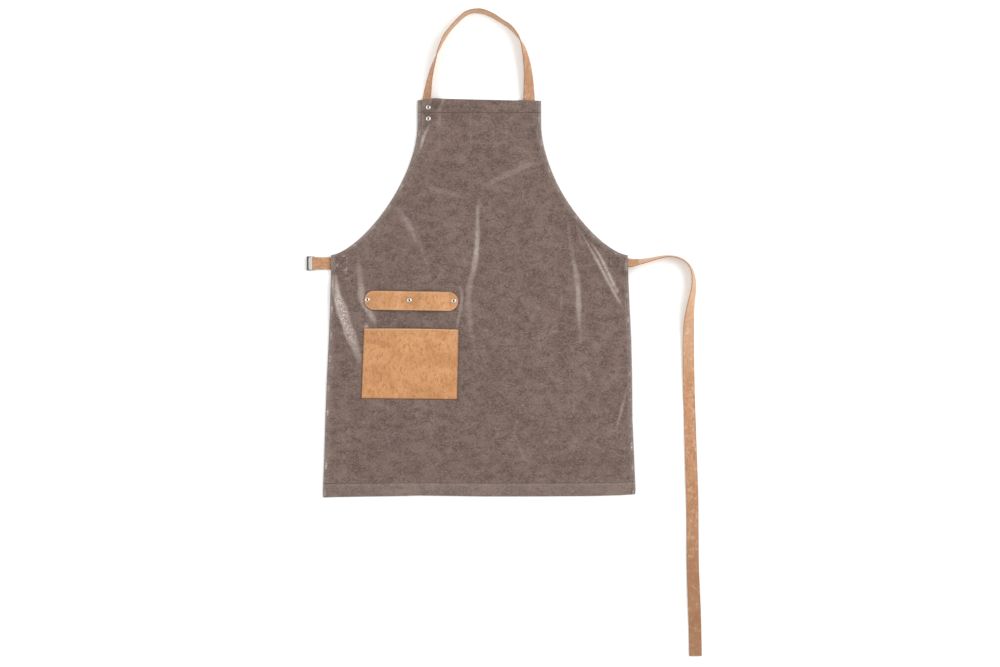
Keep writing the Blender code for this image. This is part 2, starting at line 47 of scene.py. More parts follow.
# Every shape below is worked out in millimetres, with x from the apron's centreline, y from its hem
# and z from the floor. The hem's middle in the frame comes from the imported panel.
panelLow, panelHigh = (np.array(corner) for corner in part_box("apron_panel"))
hemMiddle = np.array(((panelLow[0] + panelHigh[0]) / 2, panelLow[1], 0.0))
dice = np.random.default_rng(17)


# camera: straight above, framed as the photograph is
cameraPlace = {"x": 41.8, "y": 328.3, "height": 4764.0, "lens": 85.0}
cameraData = bpy.data.cameras.new("camera")
cameraData.lens = cameraPlace["lens"]
cameraData.sensor_width = 36.0
cameraObject = bpy.data.objects.new("camera", cameraData)
bpy.context.scene.collection.objects.link(cameraObject)
cameraOffset = np.array([cameraPlace[key] for key in ("x", "y", "height")])
cameraObject.location = hemMiddle + cameraOffset / 1000
bpy.context.scene.camera = cameraObject


# shape tools

def easeStep(share):  # 0 below 0, 1 above 1, and 3t2 - 2t3 between
    t = np.clip(share, 0.0, 1.0)
    return t * t * (3 - 2 * t)


def bell(distance, width, power=2):  # 1 in the middle, 1/e at the width
    return np.exp(-((distance / width) ** power))


def headings(line):  # direction of travel at each point of a line, of length 1
    run = np.gradient(line, axis=0)
    return run / np.linalg.norm(run, axis=1)[:, None]


def curveThrough(knots, steps):
    # each stretch between two knots is a cubic whose end slopes come from the knots on either side
    knots = np.asarray(knots, float)
    p = np.vstack([2 * knots[0] - knots[1], knots, 2 * knots[-1] - knots[-2]])
    t = (np.arange(steps) / steps)[None, :, None]
    a, b, c, d = (p[i:len(p) - 3 + i, None, :] for i in range(4))
    bend = 2 * a - 5 * b + 4 * c - d
    stretch = b + (c - a) * t / 2 + bend * t**2 / 2 + (3 * b - a - 3 * c + d) * t**3 / 2
    return np.vstack([stretch.reshape(-1, knots.shape[1]), knots[-1:]])


def lengthsAlong(line):  # distance travelled at each point of a line
    return np.concatenate([[0.0], np.cumsum(np.linalg.norm(np.diff(line, axis=0), axis=1))])


def evenly(line, pitch):
    # points at even distances along a line, as near to the pitch as fits
    travelled = lengthsAlong(line)
    count = max(2, int(round(travelled[-1] / pitch)) + 1)
    wanted = np.linspace(0.0, travelled[-1], count)
    return np.stack([np.interp(wanted, travelled, line[:, k]) for k in range(line.shape[1])], axis=1)


def nearestOnLine(x, y, line):
    # distance from each place to a chain of points, positive on its left, and how far along it is
    start, step = line[:-1], np.diff(line, axis=0)
    length = np.hypot(step[:, 0], step[:, 1])
    outX, outY = x[..., None] - start[:, 0], y[..., None] - start[:, 1]
    t = np.clip((outX * step[:, 0] + outY * step[:, 1]) / length**2, 0.0, 1.0)
    outX, outY = outX - t * step[:, 0], outY - t * step[:, 1]
    away = np.hypot(outX, outY)
    near = away.argmin(axis=-1)[..., None]
    side = np.where(step[:, 0] * outY - step[:, 1] * outX >= 0, 1.0, -1.0)
    travelled = lengthsAlong(line)[:-1] + t * length
    picked = [np.take_along_axis(value, near, axis=-1)[..., 0] for value in (away * side, travelled)]
    return picked[0], picked[1]


def addSurface(name, points, faces, material, sections=None, uv=None, marks=None):
    # one smooth mesh from whole arrays: points in millimetres, and a table of faces for each number of
    # corners; the first corner of a face stands after all the corners before it
    groups = faces if isinstance(faces, list) else [faces]
    corners = np.concatenate([group.ravel() for group in groups])
    sizes = np.concatenate([np.full(len(group), group.shape[1]) for group in groups])
    mesh = bpy.data.meshes.new(name)
    mesh.vertices.add(len(points))
    mesh.vertices.foreach_set("co", (points / 1000 + hemMiddle).astype(np.float32).ravel())
    mesh.loops.add(len(corners))
    mesh.loops.foreach_set("vertex_index", corners.astype(np.int32))
    mesh.polygons.add(len(sizes))
    mesh.polygons.foreach_set("loop_start", (np.cumsum(sizes) - sizes).astype(np.int32))
    for each in material if isinstance(material, list) else [material]:
        mesh.materials.append(each)
    if sections is not None:
        mesh.polygons.foreach_set("material_index", np.asarray(sections, np.int32))
    if uv is not None:  # metres along and across the piece, so that patterns keep their real size
        layer = mesh.uv_layers.new(name="surfaceUv")
        layer.data.foreach_set("uv", (uv[corners] / 1000).astype(np.float32).ravel())
    for key, values in (marks or {}).items():
        attribute = mesh.attributes.new(key, "FLOAT", "POINT")
        attribute.data.foreach_set("value", np.asarray(values, np.float32).ravel())
    mesh.update(calc_edges=True)
    mesh.validate()
    mesh.shade_smooth()
    mesh.set_sharp_from_angle(angle=math.radians(50))
    piece = bpy.data.objects.new(name, mesh)
    bpy.context.scene.collection.objects.link(piece)
    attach(piece, "root")
    return piece


def gridQuads(rows, columns, wrapRows=False, wrapColumns=False):
    # corner numbers of the cells of a grid, turned so that row x column points up
    i = np.arange(rows if wrapRows else rows - 1)[:, None]
    j = np.arange(columns if wrapColumns else columns - 1)[None, :]
    nextI, nextJ = (i + 1) % rows, (j + 1) % columns
    corners = [i * columns + j, i * columns + nextJ, nextI * columns + nextJ, nextI * columns + j]
    return np.stack([np.broadcast_to(corner, (i.size, j.size)) for corner in corners], axis=-1).reshape(-1, 4)


def closedShell(x, y, top, bottom):
    # an upper and a lower surface over one grid of places, joined all round their edge; gives points and
    # faces, upper faces first, then lower ones, then the rim
    rows, columns = top.shape
    upper = gridQuads(rows, columns)
    lower = upper[:, ::-1] + rows * columns
    number = np.arange(rows * columns).reshape(rows, columns)
    loop = np.concatenate([number[0, :-1], number[:-1, -1], number[-1, :0:-1], number[:0:-1, 0]])
    after = np.roll(loop, -1)
    base = rows * columns
    rim = np.stack([loop + base, after + base, after, loop], axis=1)
    points = np.concatenate([np.stack([x, y, z], axis=-1).reshape(-1, 3) for z in (top, bottom)])
    return points, np.concatenate([upper, lower, rim])


def tubeQuads(rows, count):
    # a tube's faces, with each end closed by strips from side to side
    half = np.arange(count // 2 - 1)
    cap = np.stack([half, half + 1, count - 2 - half, count - 1 - half], axis=1)
    return np.concatenate([gridQuads(rows, count, wrapColumns=True), cap[:, ::-1], cap + (rows - 1) * count])


def rollEdge(bottom, top, edge, radius, least):
    # brings two faces together at an edge, as a quarter circle each
    rolled = np.sqrt(1 - (1 - np.clip(edge / radius, least, 1)) ** 2)
    middle = (top + bottom) / 2
    return middle + (bottom - middle) * rolled, middle + (top - middle) * rolled


def coarseUnderside(number):
    # faces of a lower side, twice as coarse as the upper one but for its rim: the extra corners there
    # keep it joined to the upper side; number is the grid of point numbers, odd both ways
    whole = number[::2, ::2]
    a, b, c, d = whole[:-1, :-1], whole[:-1, 1:], whole[1:, 1:], whole[1:, :-1]
    foot, head, left, right = number[0, 1::2], number[-1, 1::2], number[1::2, 0], number[1::2, -1]
    inside = np.stack([a, d, c, b], axis=-1)[1:-1, 1:-1].reshape(-1, 4)
    sides = [
        np.stack([a[0], d[0], c[0], b[0], foot], axis=-1)[1:-1],
        np.stack([a[-1], d[-1], head, c[-1], b[-1]], axis=-1)[1:-1],
        np.stack([a[:, 0], left, d[:, 0], c[:, 0], b[:, 0]], axis=-1)[1:-1],
        np.stack([a[:, -1], d[:, -1], c[:, -1], right, b[:, -1]], axis=-1)[1:-1],
    ]
    ends = np.array([
        (a[0, 0], left[0], d[0, 0], c[0, 0], b[0, 0], foot[0]),
        (a[0, -1], d[0, -1], c[0, -1], right[0], b[0, -1], foot[-1]),
        (a[-1, 0], left[-1], d[-1, 0], head[0], c[-1, 0], b[-1, 0]),
        (a[-1, -1], d[-1, -1], head[-1], c[-1, -1], right[-1], b[-1, -1]),
    ])
    return [inside, np.concatenate(sides), ends]


def graded(start, end, step, extra):
    # even steps from start to end, with the extra places put among them and crowded ones left out
    even = np.linspace(start, end, int(round((end - start) / step)) + 1)
    extra = np.array([place for place in extra if start < place < end])
    clear = np.abs(even[1:-1, None] - extra[None, :]).min(axis=1) > 0.45 * step
    return np.sort(np.concatenate([even[:1], even[1:-1][clear], even[-1:], extra]))


# material tools

def linear(hexColour):  # sRGB hex to the linear values that the sockets take
    values = [int(hexColour[i:i + 2], 16) / 255 for i in (1, 3, 5)]
    return (*[v / 12.92 if v <= 0.04045 else ((v + 0.055) / 1.055) ** 2.4 for v in values], 1.0)


def perMetre(size):  # how many features of a size in millimetres fit in a metre
    return 1000.0 / size


def addNode(tree, kind, settings=None, links=None):
    # settings go to sockets by name or number, to a ramp's stops, or else to the node itself
    made = tree.nodes.new("ShaderNode" + kind)
    for key, value in (settings or {}).items():
        if key == "stops":
            ramp = made.color_ramp
            for number, (place, colour) in enumerate(value):
                stop = ramp.elements[number] if number < 2 else ramp.elements.new(place)
                stop.position = place
                stop.color = linear(colour) if isinstance(colour, str) else (colour, colour, colour, 1.0)
        elif isinstance(key, int) or key in made.inputs:
            made.inputs[key].default_value = value
        else:
            setattr(made, key, value)
    for key, source in (links or {}).items():
        tree.links.new(source, made.inputs[key])
    return made


def startMaterial(name, settings):
    made = bpy.data.materials.new(name)
    made.use_nodes = True
    shader = made.node_tree.nodes["Principled BSDF"]
    for key, value in settings.items():
        shader.inputs[key].default_value = value
    return made, made.node_tree, shader


def layColour(tree, under, colour, factor):
    # lays a colour over what is under it, as far as the factor says
    return addNode(tree, "Mix", {"data_type": "RGBA", 7: linear(colour)}, {0: factor, 6: under}).outputs[2]


def finishMaterial(tree, shader, colour, bumps=(), rough=None):
    # joins the colour, the bumps from the finest up, as (height, strength, distance), and a roughness that
    # runs with a pattern, as (pattern, least, most)
    tree.links.new(colour, shader.inputs["Base Color"])
    if rough:
        settings = {"From Min": 0.3, "From Max": 0.7, "To Min": rough[1], "To Max": rough[2]}
        level = addNode(tree, "MapRange", settings, {"Value": rough[0]}).outputs[0]
        tree.links.new(level, shader.inputs["Roughness"])
    normal = {}
    for height, strength, distance in bumps:
        settings = {"Strength": strength, "Distance": distance}
        normal = {"Normal": addNode(tree, "Bump", settings, {"Height": height, **normal}).outputs[0]}
    if normal:
        tree.links.new(normal["Normal"], shader.inputs["Normal"])


# the pale laid on fold crests, hem rolls and spots is painted highlight over partly rubbed coating, and the
# dark laid in the seam lines and along the edge is painted shade
clothFinish = {
    "gloss": {"IOR": 1.5, "Coat Weight": 0.15, "Coat Roughness": 0.26},
    "pale": "#786359", "deep": "#6c564d", "patch": "#5c473e", "vein": "#3b2b25", "fleck": "#3a2a24",
    "hair": "#917f75", "sheenAndWear": "#cfc1b8", "grooveShade": "#33251e", "toneSize": 60, "patchSize": 22,
    "veinSize": 8.0, "fleckSize": 4.8, "speckSize": 2.4, "hairSize": 9.5, "grainSize": 1.6,
    "crackleSize": 6.0,
}


def agedCoatedCloth(f=clothFinish):
    # polyurethane-coated cloth, embossed and printed to look like aged hide: a soft gloss over greyed
    # browns, with a net of short dark cracks, pale hairline scuffs, folds painted pale as painted highlight
    # over partly rubbed coating, and painted shade in the seams
    made, tree, shader = startMaterial("agedCoatedCloth", f["gloss"])
    place = addNode(tree, "TexCoord").outputs["Object"]
    across = addNode(tree, "Mapping", {"Scale": (1.0, 1.5, 1.0)}, {"Vector": place}).outputs[0]
    level = addNode(tree, "Mapping", {"Scale": (0.75, 1.7, 1.0)}, {"Vector": place}).outputs[0]
    # cracks and hairs wander because a noise pushes their place about, a few millimetres each way
    pushed = []
    for size, detail, reach, base in ((9.0, 3.0, 0.007, across), (28.0, 2.0, 0.022, place)):
        settings = {"Scale": perMetre(size), "Detail": detail}
        push = addNode(tree, "TexNoise", settings, {"Vector": place}).outputs["Color"]
        settings = {"operation": "MULTIPLY_ADD", 1: (reach, reach, 0.0)}
        pushed.append(addNode(tree, "VectorMath", settings, {0: push, 2: base}).outputs[0])
    bent, swept = pushed

    pattern = {}
    for key, base, detail, more in (
        ("tone", place, 4.0, {}), ("patch", across, 4.0, {"Roughness": 0.5, "Distortion": 0.6}),
        ("fleck", level, 2.0, {"Roughness": 0.5, "Distortion": 1.3}), ("speck", level, 2.0, {}),
    ):
        settings = {"Scale": perMetre(f[key + "Size"]), "Detail": detail, **more}
        pattern[key] = addNode(tree, "TexNoise", settings, {"Vector": base}).outputs[0]
    for key, base in (("vein", bent), ("hair", swept), ("crackle", bent)):
        settings = {"feature": "DISTANCE_TO_EDGE", "Scale": perMetre(f[key + "Size"])}
        pattern[key] = addNode(tree, "TexVoronoi", settings, {"Vector": base}).outputs["Distance"]

    # each mask goes from one strength to another between two readings of a pattern
    mask = {}
    for key, source, low, first, high, second in (
        ("patch", "patch", 0.44, 0.0, 0.64, 0.40), ("gathered", "patch", 0.36, 0.25, 0.60, 1.0),
        ("hair", "hair", 0.02, 0.60, 0.07, 0.0), ("broken", "fleck", 0.44, 0.0, 0.58, 1.0),
        ("vein", "vein", 0.08, 0.72, 0.17, 0.0), ("whole", "fleck", 0.46, 1.0, 0.58, 0.0),
        ("fleck", "fleck", 0.58, 0.0, 0.64, 0.72), ("speck", "speck", 0.57, 0.0, 0.68, 0.55),
        ("crackedSheen", "fleck", 0.43, 0.08, 0.56, 1.0), ("plates", "crackle", 0.04, 0.15, 0.16, 1.0),
    ):
        stops = [(low, first), (high, second)]
        mask[key] = addNode(tree, "ValToRGB", {"stops": stops}, {0: pattern[source]}).outputs[0]
    settings = {"operation": "MULTIPLY_ADD", 1: 0.65, 2: 0.35}
    mask["thinned"] = addNode(tree, "Math", settings, {0: mask["gathered"]}).outputs[0]
    for key, other in (
        ("hair", "broken"), ("vein", "whole"), ("vein", "gathered"), ("fleck", "gathered"),
        ("speck", "thinned"), ("crackedSheen", "plates"),
    ):
        factors = {0: mask[key], 1: mask[other]}
        mask[key] = addNode(tree, "Math", {"operation": "MULTIPLY"}, factors).outputs[0]

    stops = [(0.36, f["deep"]), (0.64, f["pale"])]
    colour = addNode(tree, "ValToRGB", {"stops": stops}, {0: pattern["tone"]}).outputs[0]
    for key, tint in (
        ("patch", "patch"), ("hair", "hair"), ("vein", "vein"), ("fleck", "fleck"), ("speck", "fleck"),
    ):
        colour = layColour(tree, colour, f[tint], mask[key])
    # along creases, hem rolls and spots the colour is painted pale, as painted highlight over partly rubbed
    # coating; a light one stays smooth, a heavy one is broken up: pale = mark (1 - mark (1 - cracks))
    sheenAndWearMark = addNode(tree, "Attribute", {"attribute_name": "sheenAndWearMark"}).outputs["Fac"]
    sheenAndRub = mask["crackedSheen"]
    for _ in range(2):
        sheenAndRub = addNode(tree, "Math", {"operation": "SUBTRACT", 0: 1.0}, {1: sheenAndRub}).outputs[0]
        sheenAndRub = addNode(tree, "Math", {"operation": "MULTIPLY"}, {0: sheenAndRub, 1: sheenAndWearMark}).outputs[0]
    colour = layColour(tree, colour, f["sheenAndWear"], sheenAndRub)
    # painted shade: dark in the seam grooves and along the outer edge
    grooveShade = addNode(tree, "Attribute", {"attribute_name": "grooveShade"}).outputs["Fac"]
    colour = layColour(tree, colour, f["grooveShade"], grooveShade)
    # pebbled grain, drawn about twice as coarse as the real one so that it shows
    settings = {"Scale": perMetre(f["grainSize"])}
    grain = addNode(tree, "TexVoronoi", settings, {"Vector": place}).outputs["Distance"]
    bumps = [(grain, 0.20, 0.0003), (mask["plates"], 0.30, 0.0004), (pattern["patch"], 0.25, 0.0010)]
    finishMaterial(tree, shader, colour, bumps, (pattern["patch"], 0.33, 0.48))
    return made


def knittedBacking():
    # the cotton knit under the coating: matt, soft and a little fuzzy
    made, tree, shader = startMaterial("knittedBacking", {"Roughness": 0.9, "Sheen Weight": 0.3})
    place = addNode(tree, "TexCoord").outputs["Object"]
    settings = {"Scale": perMetre(2.2) / 6.28, "Distortion": 1.2, "Detail": 2.0}
    ribs = addNode(tree, "TexWave", settings, {"Vector": place}).outputs["Fac"]
    fuzz = addNode(tree, "TexNoise", {"Scale": perMetre(4.0), "Detail": 5.0}, {"Vector": place}).outputs[0]
    colour = addNode(tree, "ValToRGB", {"stops": [(0.3, "#8d8177"), (0.7, "#a09488")]}, {0: fuzz}).outputs[0]
    colour = layColour(tree, colour, "#7c7067", ribs)
    finishMaterial(tree, shader, colour, [(ribs, 0.4, 0.0004)])
    return made


# on the pocket and band, edge is a pale line that is partly a painted highlight and rim a painted shadow line
patchFinish = {
    "pale": "#cd9361", "deep": "#b57c4a", "streak": "#9f6839", "speck": "#7a4a28", "light": "#dbae81",
    "edge": "#d6ac80", "rim": "#5a361f", "toneSize": 34, "streakSize": 9.0, "blotchSize": 7.0,
    "speckSize": 2.8, "lightSize": 7, "grainSize": 1.4, "stretch": (1.8, 0.8, 1.0),
}
strapFinish = {
    "pale": "#bd8c66", "deep": "#b07e56", "streak": "#976745", "speck": "#7c5035", "light": "#cfaa89",
    "edge": "#85593a", "rim": "#6d4328", "toneSize": 55, "streakSize": 9.0, "blotchSize": 4.5,
    "speckSize": 2.3, "lightSize": 11, "grainSize": 1.3, "stretch": (2.2, 0.45, 1.0),
}


def tanLeatherette(name, f):
    # tan split leather with a thin smooth coating: satin, mottled, with darker upright streaks and pits;
    # its cut edges show another tone, on the pocket and band partly a painted highlight inside a painted
    # shadow line; it is painted darker where its shade mark says, partly painted shadow, and painted lighter
    # where a strap stands up, as painted light
    made, tree, shader = startMaterial(name, {"IOR": 1.48, "Coat Weight": 0.05, "Coat Roughness": 0.4})
    place = addNode(tree, "UVMap", {"uv_map": "surfaceUv"}).outputs[0]
    upright = addNode(tree, "Mapping", {"Scale": f["stretch"]}, {"Vector": place}).outputs[0]
    noise, mark = {}, {}
    for key, detail, base in (
        ("tone", 4.0, place), ("streak", 4.0, upright), ("blotch", 3.0, place), ("speck", 2.0, upright),
        ("light", 4.0, place),
    ):
        settings = {"Scale": perMetre(f[key + "Size"]), "Detail": detail}
        settings.update({"Roughness": 0.55, "Distortion": 0.7})
        noise[key] = addNode(tree, "TexNoise", settings, {"Vector": base}).outputs[0]
    for key in ("shade", "paintedLight", "edge", "rim"):
        mark[key] = addNode(tree, "Attribute", {"attribute_name": key}).outputs["Fac"]
    stops = [(0.35, f["deep"]), (0.65, f["pale"])]
    colour = addNode(tree, "ValToRGB", {"stops": stops}, {0: noise["tone"]}).outputs[0]
    pale = addNode(tree, "ValToRGB", {"stops": [(0.50, 0.0), (0.64, 0.70)]}, {0: noise["light"]}).outputs[0]
    colour = layColour(tree, colour, f["light"], pale)
    # darker where the shade mark says: painted shadow on the tab by the panel's edge, and darker at the neck
    # strap's roots and towards the tie's end
    darker = {"data_type": "RGBA", "blend_type": "MULTIPLY", 7: linear("#d2cdcb")}
    colour = addNode(tree, "Mix", darker, {0: mark["shade"], 6: colour}).outputs[2]
    for key, tint, low, high, most in (
        ("streak", "streak", 0.50, 0.66, 0.65), ("blotch", "streak", 0.54, 0.66, 0.70),
        ("speck", "speck", 0.58, 0.70, 0.42),
    ):
        mask = addNode(tree, "ValToRGB", {"stops": [(low, 0.0), (high, most)]}, {0: noise[key]}).outputs[0]
        colour = layColour(tree, colour, f[tint], mask)
    # painted lighter where a strap stands up (painted light), then the edge line, and the dark rim that is a
    # painted shadow line round the pocket and band
    for key, tint in (("paintedLight", "light"), ("edge", "edge"), ("rim", "rim")):
        colour = layColour(tree, colour, f[tint], mark[key])
    settings = {"Scale": perMetre(f["grainSize"])}
    grain = addNode(tree, "TexVoronoi", settings, {"Vector": place}).outputs["Distance"]
    bumps = [(grain, 0.16, 0.00025), (noise["streak"], 0.3, 0.0006)]
    finishMaterial(tree, shader, colour, bumps, (noise["streak"], 0.42, 0.60))
    return made


def polishedNickel():
    # nickel plate on steel: bright and a little warm, with fine wear; painted dark where its mark says, as
    # painted shade and reflection in the rivets' dimples and a painted dark reflection on the ring's far bar
    made, tree, shader = startMaterial("polishedNickel", {"Metallic": 1.0})
    place = addNode(tree, "TexCoord").outputs["Object"]
    settings = {"Scale": perMetre(3.0), "Detail": 6.0, "Roughness": 0.65}
    wear = addNode(tree, "TexNoise", settings, {"Vector": place}).outputs[0]
    shadeAndReflection = addNode(tree, "Attribute", {"attribute_name": "shadeAndReflection"}).outputs["Fac"]
    colour = addNode(tree, "ValToRGB", {"stops": [(0.3, "#d8d4ce"), (0.7, "#e8e5e0")]}, {0: wear}).outputs[0]
    # painted shade and reflection
    colour = layColour(tree, colour, "#3d3630", shadeAndReflection)
    finishMaterial(tree, shader, colour, [(wear, 0.05, 0.0002)], (wear, 0.14, 0.30))
    return made


def twistedThread(name, pale, deep):
    # polyester sewing thread: two plies twisted together, slightly shiny; the twist runs at a slant
    made, tree, shader = startMaterial(name, {"Roughness": 0.55, "Sheen Weight": 0.2})
    place = addNode(tree, "UVMap", {"uv_map": "surfaceUv"}).outputs[0]
    slant = addNode(tree, "Mapping", {"Rotation": (0.0, 0.0, 0.7)}, {"Vector": place}).outputs[0]
    settings = {"Scale": perMetre(0.5) / 6.28, "Distortion": 0.3}
    plies = addNode(tree, "TexWave", settings, {"Vector": slant}).outputs["Fac"]
    colour = addNode(tree, "ValToRGB", {"stops": [(0.2, deep), (0.8, pale)]}, {0: plies}).outputs[0]
    finishMaterial(tree, shader, colour, [(plies, 0.5, 0.0001)])
    return made


coated = agedCoatedCloth()
backing = knittedBacking()
patchLeather = tanLeatherette("tanPatchLeather", patchFinish)
strapLeather = tanLeatherette("tanStrapLeather", strapFinish)
nickel = polishedNickel()
clothThread = twistedThread("taupeThread", "#b3a297", "#8f7e73")
darkThread = twistedThread("brownThread", "#5d4b43", "#463730")
tanThread = twistedThread("tanThread", "#d8a878", "#b88350")
print("materials made")


# panel: outline, hems and what lies under it

panel = {
    "length": 800.0, "hemWidth": 631.0, "waistWidth": 599.0, "waistHeight": 486.0, "bibWidth": 249.0,
    "bibSide": 51.0, "fall": 0.416, "sweep": 0.37, "lift": 0.04, "wall": 1.4, "sideHem": 9.0,
    "bottomHem": 28.0, "topHem": 27.4, "sideSeam": 7.3, "bottomSeam": 26.6, "topSeam": 26.2,
    "border": 13.0, "step": 3.6, "columns": 270,
}
strapShape = {"width": 23.5, "wall": 2.0, "level": 469.0}
rivetShape = {"radius": 4.8, "disc": 4.4, "post": 1.6, "back": 0.8, "cap": 1.6, "sides": 40}
touching = 0.3  # room left between two pieces that lie on each other
strapLift = strapShape["wall"] + touching
rivetLift = rivetShape["back"] + touching
boardTop = rivetLift + panel["wall"]
neckLeft, neckRight = -114.5, 111.5  # outer edges of the neck strap where it leaves the bib

# how far the cut edge wanders from the pattern: height, then the left and right side, in millimetres
sideDrift = np.array([
    (0, -0.5, -1.0), (12, 0.2, 0.0), (73, -0.2, -0.4), (154, 0.2, -1.5), (235, -0.3, 0.6), (315, -1.5, 1.4),
    (396, -2.1, 0.2), (460, -1.6, -0.8), (500, 0.0, 0.0), (620, 0.6, -0.4), (690, 0.3, 0.8), (800, 0.0, 0.0),
])
# and the hem and top edge: place across, then how far up
hemDrift = np.array([
    (-315, -2.2), (-291, -1.6), (-180, 0.2), (-120, 1.6), (0, -0.2), (133, -0.2), (223, 0.6), (284, 2.2),
    (316, 4.2),
])
topDrift = np.array([(-125, -1.6), (-100, 0.2), (-80, 1.9), (-20, 0.4), (60, -1.4), (125, -2.6)])


def sideX(y):  # half width of the skirt at a height
    return (panel["hemWidth"] + (panel["waistWidth"] - panel["hemWidth"]) * y / panel["waistHeight"]) / 2


def armhole(t):
    # a cubic curve from the waist corner (0) to the foot of the bib (1), with its inward normal
    right, waist = panel["waistWidth"] / 2, panel["waistHeight"]
    bib, foot = panel["bibWidth"] / 2, panel["length"] - panel["bibSide"]
    handles = np.array([
        (right, waist), (right - panel["sweep"] * (right - bib), waist + panel["lift"] * (foot - waist)),
        (bib, foot - panel["fall"] * (foot - waist)), (bib, foot),
    ])
    t = np.asarray(t, float)[:, None]
    weights = np.hstack([(1 - t) ** 3, 3 * t * (1 - t) ** 2, 3 * t**2 * (1 - t), t**3])
    slopes = np.hstack([(1 - t) ** 2, 2 * t * (1 - t), t**2])
    run = slopes @ np.diff(handles, axis=0)
    run /= np.linalg.norm(run, axis=1)[:, None]
    return weights @ handles, np.stack([-run[:, 1], run[:, 0]], axis=1)


skirtY = np.linspace(0, panel["waistHeight"], 40)
skirtLine = np.stack([sideX(skirtY), skirtY], axis=1)
bibFoot = panel["length"] - panel["bibSide"]
bibLine = np.array([(panel["bibWidth"] / 2, y) for y in (bibFoot, panel["length"])])
sideLine = np.vstack([skirtLine[:-1], armhole(np.linspace(0, 1, 90))[0], bibLine[1:]])


def panelPlan():
    # rows run from the hem to the bib's top, each through a pair of points: one on the side edge and one
    # inside its hem; at the waist corner the pairs fan out round the corner
    border, step = panel["border"], panel["step"]
    dense = np.linspace(0, 1, 600)
    edge, inward = armhole(dense)
    inner = edge + inward * border
    first = np.argmax(inner[:, 0] <= sideX(inner[:, 1]) - border)
    mitreY = inner[first, 1]
    roll = [0.12, 0.45, 1.1, 2.1]
    seam = panel["bottomSeam"] + np.array([-1.6, -0.7, -0.25, 0.25, 0.7])
    fold = panel["bottomHem"] + np.array([-0.1, 0.1])
    skirtY = graded(0.0, mitreY, step, [*roll, *seam, *fold, fold[1] + 1.2])
    fan = 48.0  # how far below the corner the rows begin to fan out
    fanFoot = mitreY - fan
    fanned = fanFoot + (skirtY - fanFoot) * (panel["waistHeight"] - fanFoot) / fan
    edgeY = np.where(skirtY > fanFoot, fanned, skirtY)
    skirt = np.stack([sideX(edgeY), edgeY, sideX(skirtY) - border, skirtY], axis=1)

    travelled = lengthsAlong(inner[first:])
    wanted = np.linspace(0, travelled[-1], int(travelled[-1] / (step * 1.1)) + 1)[1:]
    innerT = np.interp(wanted, travelled, dense[first:])
    startT, spreadT = dense[first], 0.30
    edgeT = np.where(innerT < spreadT, (innerT - startT) * spreadT / (spreadT - startT), innerT)
    onInner, normal = armhole(innerT)
    curved = np.hstack([armhole(edgeT)[0], onInner + normal * border])

    top = panel["length"]
    seam = top - panel["topSeam"] + np.array([-1.1, -0.9, -0.6, -0.25, 0.25, 0.7, 1.6])
    bibY = graded(bibFoot, top, step, [*[top - r for r in roll], *seam])[1:]
    half = np.full_like(bibY, panel["bibWidth"] / 2)
    bib = np.stack([half, bibY, half - border, bibY], axis=1)
    rows = np.vstack([skirt, curved, bib])
    if len(rows) % 2 == 0:  # the coarser underside needs an odd number of rows
        rows = np.insert(rows, 6, (rows[5] + rows[6]) / 2, axis=0)

    # even places serve the underside too, where the turned hem ends 9 mm in
    places = [0.0, *roll, 2.9, 3.8, 5.0, 6.0, 6.7, 7.1, 7.5, 7.9, 8.5, 8.93, 9.0, 9.07, 10.0, 11.2, 12.1]
    share = np.array(places) / border
    between = np.linspace(-1, 1, panel["columns"] + 1)
    hemX = rows[:, [0]] + (rows[:, [2]] - rows[:, [0]]) * share
    hemY = rows[:, [1]] + (rows[:, [3]] - rows[:, [1]]) * share
    x = np.hstack([-hemX, rows[:, [2]] * between, hemX[:, ::-1]])
    y = np.hstack([hemY, np.repeat(rows[:, [3]], len(between), axis=1), hemY[:, ::-1]])
    return x, y


# stretches that lie on something: left, right, low, high, lift, margin and how far the cloth takes to settle
sewnIn, sewnOut = 262.0, 299.5
strapWidth = strapShape["width"]
strapLow, strapHigh = strapShape["level"] - strapWidth / 2, strapShape["level"] + strapWidth / 2
rests = {
    "board": (-237.0, -42.0, 195.0, 415.0, rivetLift, 19.0, 34.0),
    "tab": (-sewnOut, -sewnIn, strapLow, strapHigh, 2 * strapLift, 2.0, 10.0),
    "tie": (sewnIn, sewnOut, strapLow, strapHigh, strapLift, 2.0, 9.0),
    "neckLeft": (neckLeft, neckLeft + strapWidth, 750.0, 800.0, rivetLift + strapLift, 2.0, 16.0),
    "neckRight": (neckRight - strapWidth, neckRight, 774.0, 800.0, strapLift, 2.5, 10.0),
}

